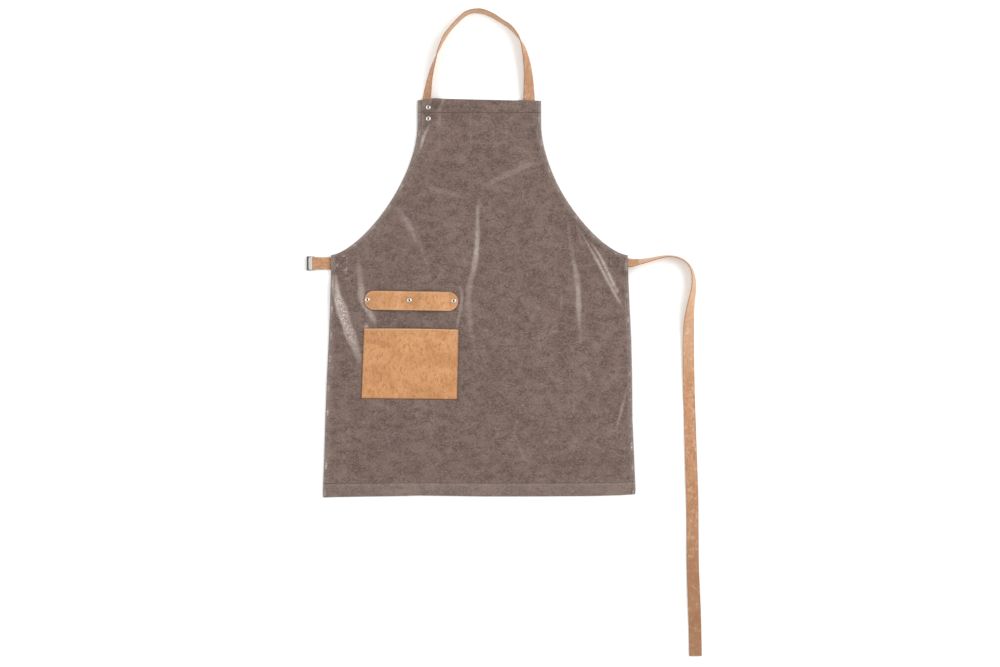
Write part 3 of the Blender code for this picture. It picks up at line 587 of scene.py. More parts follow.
# folds: how high each stands, how wide its steep side towards the light is, how far it falls away on the
# other side, how strongly its crest is painted pale (painted highlight over partly rubbed coating), where
# along it that is strongest, over what share of it, and its line from the top down
folds = {
    "centre": (
        3.6, 10.5, 19, 0.27, 0.4, 0.45,
        [(4, 602), (-3, 577), (-4, 517), (-10, 465), (-19, 428), (-22, 380), (-12, 303), (-3, 250)],
    ),
    "chestRight": (2.6, 11, 22, 0.15, 0.5, 9.0, [(2, 622), (50, 646), (112, 673)]),
    "chestLeft": (2.0, 10, 16, 0.09, 0.5, 9.0, [(-108, 626), (-70, 613), (-32, 604)]),
    "armholeLeft": (3.4, 14, 18, 0.15, 0.25, 0.3, [(-172, 590), (-150, 558), (-134, 530), (-104, 470)]),
    "waistLeft": (
        4.0, 11.5, 15, 0.85, 0.75, 0.35,
        [(-246, 500), (-243, 462), (-240, 430), (-235, 395), (-222, 371), (-207, 346)],
    ),
    "sideLeft": (
        6.4, 17, 17, 1.25, 0.58, 0.45,
        [(-298, 456), (-291, 414), (-279, 378), (-266, 340), (-252, 304), (-239, 268)],
    ),
    "armholeRight": (
        2.5, 10.5, 20, 0.26, 0.64, 0.19,
        [(178, 566), (185, 501), (198, 432), (201, 362), (206, 300)],
    ),
    "waistRight": (2.2, 5.4, 12, 0.55, 0.62, 0.35, [(200, 542), (239, 473), (275, 405), (293, 376)]),
    "waistRightTwo": (2.0, 4.8, 9, 0.6, 0.6, 0.35, [(222, 516), (244, 484), (263, 446), (281, 410)]),
    "sideRight": (1.8, 5.5, 11, 0.15, 0.5, 9.0, [(301, 226), (285, 164), (275, 130)]),
    "bibLeft": (2.1, 5.2, 9, 0.3, 0.5, 9.0, [(-98, 752), (-111, 727), (-119, 700)]),
    "bibRight": (0.8, 5, 8, 0.08, 0.5, 9.0, [(108, 752), (120, 726), (131, 698)]),
    "bibMiddle": (0.4, 3.5, 8, 0.03, 0.5, 9.0, [(-15, 799), (-18, 745), (-17, 690)]),
    "byBand": (2.2, 5.8, 8, 0.3, 0.5, 9.0, [(-40, 426), (-35, 402), (-45, 338)]),
}
# small spots painted pale, as painted highlights on puckers and pale scuffs: place, radius and strength
sheenSpots = [
    (-293, 479, 2.0, 0.9), (-288.4, 465, 2.4, 1.0), (-274, 485, 2.2, 0.9), (-269.5, 479, 1.8, 0.7),
    (-269.2, 471, 1.8, 0.8), (-270, 458.5, 2.6, 1.1), (-270, 452.5, 2.0, 0.9), (-98.5, 795, 3.2, 0.6),
    (-228, 343, 3.0, 0.9), (-235.2, 393, 3.4, 1.2), (-217, 364, 3.6, 0.9), (-212, 356, 2.6, 0.8),
    (270, 428, 4.5, 0.6), (277, 415, 4.0, 0.6), (263, 440, 3.5, 0.4),
]


def smallWrinkles(count=60):
    # short seeded creases, most of them near the armholes and sides, leaning down and inwards
    made = []
    for _ in range(count):
        side = 1.0 if dice.random() < 0.5 else -1.0
        x, y = side * dice.uniform(60, 285), dice.uniform(60, 660)
        lean = math.radians(dice.normal(-72, 22)) * side
        reach = dice.uniform(10, 30)
        dx, dy = math.cos(lean) * reach, -abs(math.sin(lean)) * reach
        bow = dice.uniform(-4, 4)
        line = np.array([(x - dx, y - dy), (x + bow, y), (x + dx, y + dy)])
        flank = dice.uniform(3, 5)
        rise = dice.uniform(0.08, 0.22) * flank
        fall, sheenAndWear = dice.uniform(4, 9), dice.uniform(0, 0.08)
        made.append((rise, flank, fall, sheenAndWear, 0.5, 9.0, line))
    return made


wrinkles = smallWrinkles()


def foldShape(x, y):
    # each fold rises over its steep side as a ramp, three parts straight and one part eased, and falls as
    # a bell on the other; along it the height goes as a flattened half sine; also how strongly each place is
    # painted pale, as painted highlight over partly rubbed coating
    rise, sheenAndWear = np.zeros_like(x), np.zeros_like(x)
    for number, (height, flank, slope, sheenAndRub, peak, spread, knots) in enumerate([*folds.values(), *wrinkles]):
        line = curveThrough(knots, 5)
        length = lengthsAlong(line)[-1]
        near = np.abs(x - line[:, 0].mean()) < np.ptp(line[:, 0]) + 70
        near &= np.abs(y - line[:, 1].mean()) < np.ptp(line[:, 1]) + 70
        away, along = nearestOnLine(x[near], y[near], line)
        taper = np.clip(np.sin(math.pi * along / length), 0, 1) ** 0.5
        flank = flank * (0.45 + 0.55 * taper) * (1 + 0.12 * np.sin(along / 9.0 + number))
        away = np.where(line[-1, 1] > line[0, 1], -away, away)
        down = away / flank + 0.5
        ramp = 1 - (3 * np.clip(down, 0, 1) + easeStep(down)) / 4
        fall = bell(np.maximum(-away - flank / 2, 0), slope)
        uneven = 1 + 0.10 * np.sin(along / 13.1 + number) + 0.05 * np.sin(along / 5.7 + 2 * number)
        rise[near] += height * taper * uneven * ramp * fall
        crest = bell(away, 0.55 * flank, 4) * taper * uneven
        crest = crest * bell(along / length - peak, spread)
        sheenAndWear[near] = np.maximum(sheenAndWear[near], sheenAndRub * crest)
    for spotX, spotY, radius, strength in sheenSpots:
        sheenAndWear = np.maximum(sheenAndWear, strength * bell(np.hypot(x - spotX, y - spotY), radius))
    return rise, np.minimum(sheenAndWear, 1.0)


# how far each strap has begun to roll under the cloth: degrees, and where that begins and how long it takes
rootTurns = {"left": (41.0, 778.0, 25.0), "right": (15.0, 780.0, 22.0), "tie": (46.0, 278.0, 30.0)}


def rootTurn(root, place):
    most, start, reach = rootTurns[root]
    return most * easeStep((place - start) / reach)


def panelHeights(x, y):
    # lower and upper face of the cloth, how strongly it is painted pale (painted highlight over partly rubbed
    # coating), how far a place is past the turned hem, and how strongly it is painted dark (painted shade in
    # the seams and along the edge); floor = lift + (rise + waves) (1 - flat) + pucker (1 - 0.7 flat), and the
    # top is one wall above it, or two in the hem
    side, along = nearestOnLine(np.abs(x), y, sideLine)
    side = np.abs(side)
    lift, flat = np.zeros_like(x), np.zeros_like(x)
    for left, right, low, high, height, margin, settle in rests.values():
        pastX = np.maximum(np.maximum(left - x, x - right) - margin, 0.0)
        pastY = np.maximum(np.maximum(low - y, y - high) - margin, 0.0)
        share = easeStep(1 - np.hypot(pastX, pastY) / settle)
        lift, flat = np.maximum(lift, height * share), np.maximum(flat, share)
    rise, sheenAndWear = foldShape(x, y)
    # over the rolled roots of the straps the cloth is pushed up
    for root, place, inside, ease in (
        ("left", y, x - neckLeft, 12.0), ("right", y, neckRight - x, 9.0), ("tie", x, strapHigh - y, 13.0),
    ):
        over = np.clip(inside, 0, strapWidth) * bell(np.maximum(inside - strapWidth, 0), ease)
        lift = lift + over * np.sin(np.radians(rootTurn(root, place))) * 1.06
    # long low waves, and puckers where the hem is sewn
    waves = (0.35 * (1 + np.sin(x / 31 + y / 57)) + 0.25 * (1 + np.sin(y / 23 - x / 71))) * (1 - flat)
    pucker = 0.30 * (1.4 + np.sin(along / 1.9) * np.sin(along / 5.3 + 1) + 0.5 * np.sin(along / 3.1))
    pucker = pucker * bell(side - panel["sideSeam"] + 2, 5.5)
    lowPucker = 0.25 * (1.4 + np.sin(x / 2.3) * np.sin(x / 6.1) + 0.5 * np.sin(x / 3.7))
    pucker = pucker + lowPucker * bell(y - 24, 7.0)
    floor = lift + (rise + waves) * (1 - flat) + pucker * (1 - 0.7 * flat)
    # the roll of the side hems is painted pale in short dashes, as painted highlights on its puckers
    sheenDashes = np.sin(along / 4.9 + 2 * np.sin(along / 31)) + np.sin(along / 8.3 + (x > 0) * 2)
    strength = np.where(y < panel["waistHeight"], 1.1, 0.5)
    sheenDashes = np.clip(sheenDashes - 0.75, 0, 1) * bell(side - 4.2, 1.8) * strength
    # the side edge is painted lighter too, as painted light
    sheenAndWear = np.maximum(sheenAndWear * (1 - 0.25 * flat), np.maximum(sheenDashes, 0.16 * bell(side, 7.0)))
    # a painted light line where the bottom hem's step catches the light, and the hem band painted a little
    # lighter
    sheenAndWear = np.maximum(sheenAndWear, 0.07 * (y < panel["bottomHem"]) + 0.14 * bell(y - 23.4, 1.5))
    # the turned hem is a second layer, and past its edge the cloth comes down again
    past = np.minimum(side - panel["sideHem"], y - panel["bottomHem"])
    past = np.minimum(past, panel["length"] - panel["topHem"] - y)
    inHem = past < 0
    settle = panel["wall"] * np.exp(-np.maximum(past, 0) / 4.5)
    top = floor + panel["wall"] + np.where(inHem, panel["wall"], settle)
    bottom = floor + np.where(inHem, 0.0, settle)
    # painted shade: a dark line in each seam's groove and along the outer edge
    grooveShade = np.zeros_like(x)
    for distance, shadeStrength in (
        (side - panel["sideSeam"], 0.65), (y - panel["bottomSeam"], 0.4),
        (y - panel["length"] + panel["topSeam"], 0.45),
    ):
        top = top - 0.55 * bell(distance, 0.6)
        grooveShade = np.maximum(grooveShade, shadeStrength * bell(distance, 0.95))
    edge = np.minimum(np.minimum(side, y), panel["length"] - y)
    grooveShade = np.maximum(grooveShade, 0.5 * bell(edge, 0.5))
    return *rollEdge(bottom, top, edge, panel["wall"], 0.015), sheenAndWear, past, grooveShade


def wander(x, y):
    # moves places near the edge with the way the edge wanders, fading over 60 mm
    distance = np.abs(nearestOnLine(np.abs(x), y, sideLine)[0])
    leftShift, rightShift = (np.interp(y, sideDrift[:, 0], sideDrift[:, k]) for k in (1, 2))
    shiftX = np.where(x < 0, -leftShift, rightShift) * bell(distance, 45)
    shiftY = np.interp(x, hemDrift[:, 0], hemDrift[:, 1]) * bell(y, 40)
    shiftY = shiftY + np.interp(x, topDrift[:, 0], topDrift[:, 1]) * bell(panel["length"] - y, 16)
    return x + shiftX, y + shiftY


def makePanel():
    x, y = panelPlan()
    bottom, top, sheenAndWear, past, grooveShade = panelHeights(x, y)
    points, quads = closedShell(*wander(x, y), top, bottom)
    cells = (x.shape[0] - 1) * (x.shape[1] - 1)
    under = coarseUnderside(np.arange(x.size).reshape(x.shape) + x.size)
    faces = [np.concatenate([quads[:cells], quads[2 * cells:], under[0]]), under[1], under[2]]
    sections = np.zeros(sum(len(group) for group in faces), int)
    first = len(faces[0]) - len(under[0])
    sections[first:len(faces[0])] = (past > 0.05).ravel()[under[0] - x.size].all(axis=1)
    # the lower points that no face uses are left out
    used = np.unique(np.concatenate([group.ravel() for group in faces]))
    renumber = np.zeros(len(points), int)
    renumber[used] = np.arange(len(used))
    # the underside gets no painted highlight or rub
    sheenAndWearMark = np.concatenate([sheenAndWear.ravel(), np.zeros(sheenAndWear.size)])  # the underside is not rubbed
    marks = {"sheenAndWearMark": sheenAndWearMark[used], "grooveShade": np.tile(grooveShade.ravel(), 2)[used]}
    piece = addSurface(
        "apronPanel", points[used], [renumber[group] for group in faces], [coated, backing],
        sections=sections, marks=marks,
    )
    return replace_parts(piece, "apron_panel")


apronPanel = makePanel()
print("panel made", len(apronPanel.data.polygons))


# straps

def strapSection():
    # closed outline of a strap's cross-section: round edges, a creased line near each edge, a low crown
    width, half, radius = strapShape["width"], strapShape["wall"] / 2, 0.75
    across = np.array([radius, 1.3, 1.55, 1.8, 2.3, 4.5, 8.0, width / 2])
    across = np.concatenate([across, width - across[-2::-1]])
    crown = 0.10 * np.sin(math.pi * across / width)
    crown = crown - 0.16 * bell(np.minimum(across, width - across) - 1.55, 0.2)
    angle = np.linspace(math.pi / 2, -math.pi / 2, 7)[1:-1]
    right = np.stack([width - radius + radius * np.cos(angle), half * np.sin(angle)], axis=1)
    upper = np.stack([across, half + crown], axis=1)
    lower = np.stack([across[::-1], np.full(len(across), -half)], axis=1)
    left = np.stack([radius - radius * np.cos(angle), -half * np.sin(angle)], axis=1)
    return np.vstack([upper, right, lower, left])


def sweepStrap(name, start, across, normal, wide=1.0, shade=0.0, paintedLight=0.0):
    # point(i, k) = start(i) + wide(i) across(i) v(k) + normal(i) h(k), with the ends closed by strips
    section = strapSection()
    across = across * np.reshape(wide, (-1, 1))
    outward, upward = section[None, :, [0]], section[None, :, [1]]
    points = start[:, None] + across[:, None] * outward + normal[:, None] * upward
    rows, count = points.shape[:2]
    middle = points[[0, -1]].mean(axis=1, keepdims=True)
    ends = middle + (points[[0, -1]] - middle) * 0.985
    cap = 0.35  # how far each end stands out
    ends = ends + headings(start)[[0, -1], None] * np.array((-cap, cap))[:, None, None]
    points = np.concatenate([ends[:1], points, ends[1:]])
    rows += 2
    travelled = lengthsAlong(start)
    travelled = np.concatenate([travelled[:1] - cap, travelled, travelled[-1:] + cap])
    uv = np.stack(np.broadcast_arrays(section[None, :, 0], travelled[:, None]), axis=-1).reshape(-1, 2)
    edge = bell(np.minimum(section[:, 0], strapWidth - section[:, 0]), 0.75)
    edge = np.broadcast_to(edge, (rows, count)).copy()
    edge[[0, -1]] = 1.0
    marks = {"edge": edge * 0.7}
    for key, values in (("shade", shade), ("paintedLight", paintedLight)):
        padded = np.pad(np.broadcast_to(values, len(start)), 1, mode="edge")
        marks[key] = np.broadcast_to(padded[:, None], (rows, count))
    quads = tubeQuads(rows, count)
    return addSurface(name, points.reshape(-1, 3), quads, strapLeather, uv=uv, marks=marks)


def rolledStrap(name, path, turn, raised, side, wide, shade, paintedLight):
    # the strap stands on its outer edge, rolled by the turn: across = inward cos + up sin,
    # normal = up cos - inward sin
    run = headings(path) * side
    inward = np.stack([-run[:, 1], run[:, 0], np.zeros(len(path))], axis=1)
    sine, cosine = np.sin(np.radians(turn))[:, None], np.cos(np.radians(turn))[:, None]
    up = np.array(((0.0, 0.0, 1.0),))
    start = np.column_stack([path, raised + strapShape["wall"] / 2 * np.abs(cosine[:, 0])])
    across, normal = inward * cosine + up * sine, up * cosine - inward * sine
    return sweepStrap(name, start, across, normal, wide, shade, paintedLight)


# the neck strap's lower edge on the floor, from the right root over the loop to the left one, and its roll
neckStrap = {
    "sewnRight": 26.0, "sewnLeft": 50.0,
    "route": [
        (111.5, 800.0, 15), (111.2, 810.4, 20), (110.3, 820.1, 27), (109.3, 831.4, 34),
        (107.9, 844.6, 41), (105.8, 858.6, 48), (102.9, 872.8, 54), (99.0, 886.9, 61),
        (94.3, 900.6, 69), (87.6, 913.6, 80), (78.8, 924.6, 93), (70.0, 934.9, 98),
        (60.2, 944.0, 101), (49.1, 952.0, 102), (37.4, 959.0, 103), (25.3, 965.8, 104),
        (12.8, 971.3, 105), (0.1, 974.6, 105), (-12.5, 974.9, 103), (-24.4, 970.8, 101),
        (-35.2, 963.0, 100), (-45.1, 953.2, 100), (-54.2, 943.5, 100), (-62.5, 932.8, 100),
        (-69.9, 921.2, 99), (-76.7, 909.1, 97), (-82.9, 897.2, 92), (-88.6, 885.3, 83),
        (-94.3, 873.0, 75), (-99.6, 859.5, 69), (-103.8, 845.6, 64), (-106.9, 834.6, 59),
        (-109.7, 823.0, 53), (-112.3, 811.0, 48), (-114.0, 803.0, 42),
    ],
}


def makeNeckStrap(s=neckStrap):
    top = panel["length"]
    loop = curveThrough(s["route"], 8)
    rightY = np.linspace(top - s["sewnRight"], top, 10, endpoint=False)
    right = np.column_stack([np.full(10, neckRight), rightY, rootTurn("right", rightY)])
    leftY = np.linspace(top + 0.5, top - s["sewnLeft"], 40)
    left = np.column_stack([np.full(40, neckLeft), leftY, rootTurn("left", leftY)])
    rows = np.vstack([right, loop, left])
    onLeft = (rows[:, 0] < 0) & (rows[:, 1] < top + 70)
    raised = np.where(onLeft, rivetLift * (1 - easeStep((rows[:, 0] - neckLeft) / (strapWidth / 2))), 0.0)
    travelled = lengthsAlong(rows[:, :2])
    wide = 1.0 + 0.012 * np.sin(travelled / 37)
    # darker at its roots, and painted lighter where it stands up, as painted light on its upright faces
    shade, paintedLight = 0.45 * easeStep((70 - rows[:, 2]) / 30), 0.4 * easeStep((rows[:, 2] - 66) / 30)
    turn = rows[:, 2] + paintedLight * (2.4 * np.sin(travelled / 8.7) + 1.6 * np.sin(travelled / 4.9 + 1))
    piece = rolledStrap("neckStrap", rows[:, :2], turn, raised, 1, wide, shade, paintedLight)
    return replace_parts(piece, "neck_strap")


# the tie's edge on the floor, from its root round the bend and down, its roll, and its width
waistTie = {
    "route": [
        (300.0, 479.6, 38), (307.0, 478.7, 46), (314.6, 478.4, 54), (324.3, 478.3, 63), (335.4, 479.1, 70),
        (347.2, 480.8, 75), (359.2, 482.9, 79), (371.2, 484.7, 82), (383.5, 485.4, 83), (395.6, 484.3, 82),
        (407.3, 480.5, 81), (417.6, 473.9, 81), (425.9, 464.7, 80), (431.6, 453.9, 76), (435.0, 442.1, 71),
        (436.6, 429.7, 67), (436.6, 417.3, 63), (435.6, 405.0, 58), (434.3, 392.9, 53), (433.4, 381.0, 47),
        (433.0, 369.2, 39), (432.9, 357.4, 31), (432.9, 345.6, 24), (432.9, 333.7, 19), (433.0, 310.0, 12),
        (433.6, 261.0, 6), (434.6, 213.0, 2), (435.8, 177.0, 0), (437.7, 116.0, 0), (439.8, 56.0, 0),
        (441.6, 7.0, 0), (442.2, -29.0, 0), (442.4, -77.0, 0), (442.7, -126.0, 0), (444.0, -168.0, 0),
        (445.8, -210.0, 0), (447.6, -259.0, 0), (448.8, -321.5, 0),
    ],
    "width": [(-321, 25.3), (-230, 25.5), (-100, 24.4), (30, 24.7), (100, 23.9), (220, 23.5), (480, 23.5)],
}


def makeWaistTie(s=waistTie):
    path = curveThrough(s["route"], 9)
    sewnX = np.linspace(sewnIn + 1, 300, 16, endpoint=False)
    sewn = np.column_stack([sewnX, np.full(16, 480.2), rootTurn("tie", sewnX)])
    path = np.vstack([sewn, path])
    # the long run lies almost flat, with a few low waves
    lying = easeStep((300.0 - path[:, 1]) / 120.0)
    raised = lying * (0.55 * (1 + np.sin(path[:, 1] / 41.0)) + 0.35 * (1 + np.sin(path[:, 1] / 17.0 + 1)))
    table = np.array(s["width"])
    wide = np.interp(path[:, 1], table[:, 0], table[:, 1]) / strapWidth
    # darker towards its end
    shade = 0.9 * easeStep((150.0 - path[:, 1]) / 420.0)
    turn = np.clip(path[:, 2], 0, None)
    # painted lighter where it stands up, as painted light, and a little paler where it turns down
    paintedLight = 0.3 * easeStep((415 - path[:, 1]) / 40) * easeStep((path[:, 1] - 230) / 90)
    paintedLight = np.where(path[:, 0] > 320, paintedLight + 0.6 * easeStep((turn - 40) / 25), 0)
    piece = rolledStrap("waistTie", path[:, :2], turn, raised, -1, wide, shade, paintedLight)
    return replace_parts(piece, "waist_tie")


ringShape = {
    "y": 469.6, "slot": 9.0, "slotHeight": 25.0, "bar": 5.8, "side": 2.1, "thick": 2.2, "corner": 2.4,
}
tabWidth, tabReach = 24.4, 37.6
tabEnd = -(sewnOut + tabReach)


def makeBuckleTab():
    # one strip in side view: out along the top, down round the ring's bar in a half circle, and back below
    half, thick = strapShape["wall"] / 2, ringShape["thick"]
    low, high, sewnHigh = half, 3 * half + thick + 2 * touching, 3 * half + touching
    radius = (high - low) / 2
    foldX = tabEnd + half + radius
    barEnd = foldX + ringShape["bar"]
    fromX = np.linspace(-sewnIn, barEnd, 36)
    rise = easeStep((-sewnOut - 1 - fromX) / (-sewnOut - 1 - barEnd))
    upper = np.column_stack([fromX, sewnHigh + (high - sewnHigh) * rise])
    angle = np.linspace(0, math.pi, 26)[1:-1]
    turn = np.column_stack([foldX - radius * np.sin(angle), low + radius + radius * np.cos(angle)])
    toX = np.linspace(foldX, -sewnIn, 36)
    lower = np.column_stack([toX, np.full(36, low)])
    flatTop = np.column_stack([np.linspace(barEnd, foldX, 6)[1:], np.full(5, high)])
    path = np.vstack([upper, flatTop, turn, lower])
    run = headings(path)
    start = np.column_stack([path[:, 0], np.full(len(path), ringShape["y"] - tabWidth / 2), path[:, 1]])
    across = np.tile((0.0, 1.0, 0.0), (len(path), 1))
    normal = np.column_stack([run[:, 1], np.zeros(len(path)), -run[:, 0]])
    # painted shadow by and under the panel's edge
    shade = 0.9 * bell(np.minimum(path[:, 0] + sewnOut, 0), 4.5)
    piece = sweepStrap("buckleTab", start, across, normal, tabWidth / strapWidth, shade)
    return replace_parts(piece, "buckle_tab")


neckStrapPiece = makeNeckStrap()
waistTiePiece = makeWaistTie()
buckleTabPiece = makeBuckleTab()
print("straps made")


# ring: a flat bar bent to a rectangle, its section rounded like a cushion

def makeBuckleRing(s=ringShape):
    # the bar's inner and outer outlines share one set of angles; the section runs round between them as
    # a superellipse: level and reach are signed powers of sine and cosine
    centreX = tabEnd + strapShape["wall"] + touching - s["slot"] / 2
    centre = np.array((centreX, s["y"], strapShape["wall"] + touching + s["thick"] / 2))

    def roundedBox(halfX, halfY, radius):
        corners = []
        for number, signs in enumerate(((1, 1), (-1, 1), (-1, -1), (1, -1))):
            angle = np.linspace(0, math.pi / 2, 9) + number * math.pi / 2
            middle = np.array(signs) * (halfX - radius, halfY - radius)
            corners.append(middle + radius * np.stack([np.cos(angle), np.sin(angle)], axis=1))
        return np.vstack(corners)

    inner = roundedBox(s["slot"] / 2, s["slotHeight"] / 2, s["corner"] * 0.5)
    outer = roundedBox(s["slot"] / 2 + s["bar"], s["slotHeight"] / 2 + s["side"], s["corner"])
    angle = np.linspace(0, 2 * math.pi, 24, endpoint=False)
    reach = np.sign(np.cos(angle)) * np.abs(np.cos(angle)) ** 0.55
    level = np.sign(np.sin(angle)) * np.abs(np.sin(angle)) ** 0.7
    middle, half = (outer + inner) / 2, (outer - inner) / 2
    plan = middle[:, None] + half[:, None] * reach[None, :, None]
    z = np.broadcast_to(level * s["thick"] / 2, plan.shape[:2])
    points = np.concatenate([plan, z[..., None]], axis=-1) + centre
    quads = gridQuads(len(outer), len(angle), wrapRows=True, wrapColumns=True)[:, ::-1]
    # painted dark reflection: the far bar mirrors the dark tab
    darkReflection = (middle[:, [0]] < -s["slot"] / 2 - 0.5) * np.where(reach < 0.2, 0.85, 0.35)
    piece = addSurface("buckleRing", points.reshape(-1, 3), quads, nickel, marks={"shadeAndReflection": darkReflection})
    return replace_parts(piece, "buckle_ring")


makeBuckleRing()


# pocket and tool band

pocket = {
    "width": 194.0, "height": 141.0, "centre": -139.0, "foot": 195.5, "wall": 1.4, "seam": 6.0, "bulge": 9.5,
    # from the lower left round
    "corners": [(-238.4, 196.9), (-43.8, 194.8), (-40.6, 336.0), (-233.4, 338.2)],
}
toolBand = {
    "y": 394.2, "length": 191.5, "height": 40.6, "wall": 1.6, "bulge": 8.0, "end": 8.6, "middle": 4.0,
    "seat": 6.5,
}
boardTilt = math.radians(-0.85)


def tilted(x, y):
    # both sit a little crooked: turned about the pocket's centre
    centreY = pocket["foot"] + pocket["height"] / 2
    outX, outY = x - pocket["centre"], y - centreY
    cosine, sine = math.cos(boardTilt), math.sin(boardTilt)
    return outX * cosine - outY * sine + pocket["centre"], outX * sine + outY * cosine + centreY


def pocketPlace(x, y):
    # the pocket's plan stretched between its four corners a, b, c and d: low = a + (b - a) u,
    # high = d + (c - d) u, place = low + (high - low) v; its top edge arches up by 1 mm
    u, v = x / pocket["width"] + 0.5, y / pocket["height"]
    a, b, c, d = (np.array(corner) for corner in pocket["corners"])
    low, high = ([start[k] + (end[k] - start[k]) * u for k in (0, 1)] for start, end in ((a, b), (d, c)))
    placedX, placedY = (low[k] + (high[k] - low[k]) * v for k in (0, 1))
    return placedX, placedY + v * np.sin(math.pi * u)


def pocketBulge(u, v):
    # how far the front stands off the panel, growing from the foot to the mouth:
    # bulge (1 - u2) sin(v pi / 2)^0.8, with u and v measured inside the seams
    seamU, seamV = 2 * pocket["seam"] / pocket["width"], pocket["seam"] / pocket["height"]
    openU = np.clip(np.abs(u) / (1 - seamU), 0, 1)
    openV = np.clip((v - seamV) / (1 - seamV), 0, 1)
    return pocket["bulge"] * (1 - openU**2) * np.clip(np.sin(openV * math.pi / 2), 0, 1) ** 0.8


def pocketHeights(x, y):  # plan places before the tilt, from the pocket's left foot corner
    u, v = x / (pocket["width"] / 2), y / pocket["height"]
    side = np.minimum(pocket["width"] / 2 - np.abs(x), y)
    edge = np.minimum(side, pocket["height"] - y)
    under = boardTop + touching + pocketBulge(u, v)
    top = under + pocket["wall"] - 0.35 * bell(side - 3.6, 0.6) * (v < 0.995)
    top = top + 0.10 * np.sin(x / 3.1) * np.sin(y / 2.7) * bell(side - 4, 3.0)
    return rollEdge(under, top, edge, 0.6, 0.03)


def addPatch(name, x, y, placed, faces, marks, patternStart):
    # a closed patch of leather: its pattern runs on the plan it was cut to, and both faces are marked alike
    under, top = faces
    points, quads = closedShell(*placed, top, under)
    uv = np.tile(np.stack([x + patternStart, y], axis=-1).reshape(-1, 2), (2, 1))
    marks = {key: np.tile(value.ravel(), 2) for key, value in marks.items()}
    return addSurface(name, points, quads, patchLeather, uv=uv, marks=marks)


def makePocket():
    roll = [0.06, 0.2, 0.45, 0.8, 2.4, 3.0, 3.4, 3.8, 4.2, 4.8]
    half, height = pocket["width"] / 2, pocket["height"]
    x = graded(-half, half, 2.6, [*[-half + r for r in roll], *[half - r for r in roll]])
    y = graded(0, height, 2.6, [*roll, *[height - r for r in roll[:4]]])
    x, y = np.meshgrid(x, y)
    # its mouth is painted pale, as a painted highlight on its pale cut edge, and its other edges get a
    # painted shadow line
    side = np.minimum(half - np.abs(x), y)
    marks = {"edge": 0.8 * bell(height - y - 1.2, 1.0), "rim": bell(side, 1.8)}
    piece = addPatch("pocketFront", x, y, pocketPlace(x, y), pocketHeights(x, y), marks, 300)
    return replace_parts(piece, "pocket")


endRivet = toolBand["length"] / 2 - toolBand["end"]
rivetShift = -1.4  # the end rivets sit a little left of the band's ends
bandRivets = pocket["centre"] + np.array((rivetShift - endRivet, -toolBand["middle"], rivetShift + endRivet))
rivetUp = 1.0  # the rivets sit a little above the band's middle


def makeToolBand(s=toolBand):
    # a strip with half-round ends; between rivets it stands off the panel as half a sine wave to the
    # power 1.4, which leaves the rivets level
    radius, half = s["height"] / 2, s["length"] / 2
    ends = radius * (1 - np.cos(np.linspace(0.02, math.pi / 2, 26)))
    straight = np.linspace(-half + radius, half - radius, 76)[1:-1]
    along = np.concatenate([-half + ends, straight, (half - ends)[::-1]])
    halfHeight = np.sqrt(np.maximum(radius**2 - np.maximum(np.abs(along) - (half - radius), 0) ** 2, 0.0))
    fromEdge = np.array([0.0, 0.05, 0.2, 0.45, 0.8, 1.4])
    v = np.concatenate([fromEdge, np.linspace(2.4, s["height"] - 2.4, 17), s["height"] - fromEdge[::-1]])
    v = v / radius - 1
    x = np.broadcast_to(pocket["centre"] + along, (len(v), len(along)))
    y = s["y"] + v[:, None] * halfHeight
    bulge = np.zeros_like(x)
    for first, second in zip(bandRivets, bandRivets[1:]):
        share = np.clip((x - first - s["seat"]) / (second - first - 2 * s["seat"]), 0, 1)
        bulge = bulge + s["bulge"] * np.clip(np.sin(math.pi * share), 0, 1) ** 1.4
    outX = np.maximum(np.abs(x - pocket["centre"]) - (half - radius), 0)
    edge = radius - np.hypot(outX, y - s["y"])
    under = boardTop + touching + bulge
    top = under + s["wall"]
    for rivetX in bandRivets:  # the leather is pressed in under each cap
        away = np.hypot(x - rivetX, y - s["y"] - rivetUp)
        top = top - 0.35 * bell(away, 6.0, 4)
    # a pale line inside the edge, as a painted highlight on the pale cut edge, and a painted shadow line at
    # the rim
    marks = {"edge": 0.7 * bell(edge - 2.6, 0.9), "rim": bell(edge, 1.7)}
    faces = rollEdge(under, top, edge, 0.7, 0.03)
    piece = addPatch("toolBand", x, y, tilted(x, y), faces, marks, 700)
    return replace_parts(piece, "tool_band")


pocketPiece = makePocket()
toolBandPiece = makeToolBand()
print("pocket and band made")


# rivets: one profile turned round an upright axis

# the cap in shares of its radius and height, from its edge to near the middle of its dimple
capProfile = [
    (1.0, 0.12), (0.99, 0.34), (0.95, 0.58), (0.87, 0.78), (0.78, 0.91), (0.66, 0.99), (0.55, 1.0),
    (0.45, 0.90), (0.37, 0.66), (0.28, 0.44), (0.14, 0.36),
]


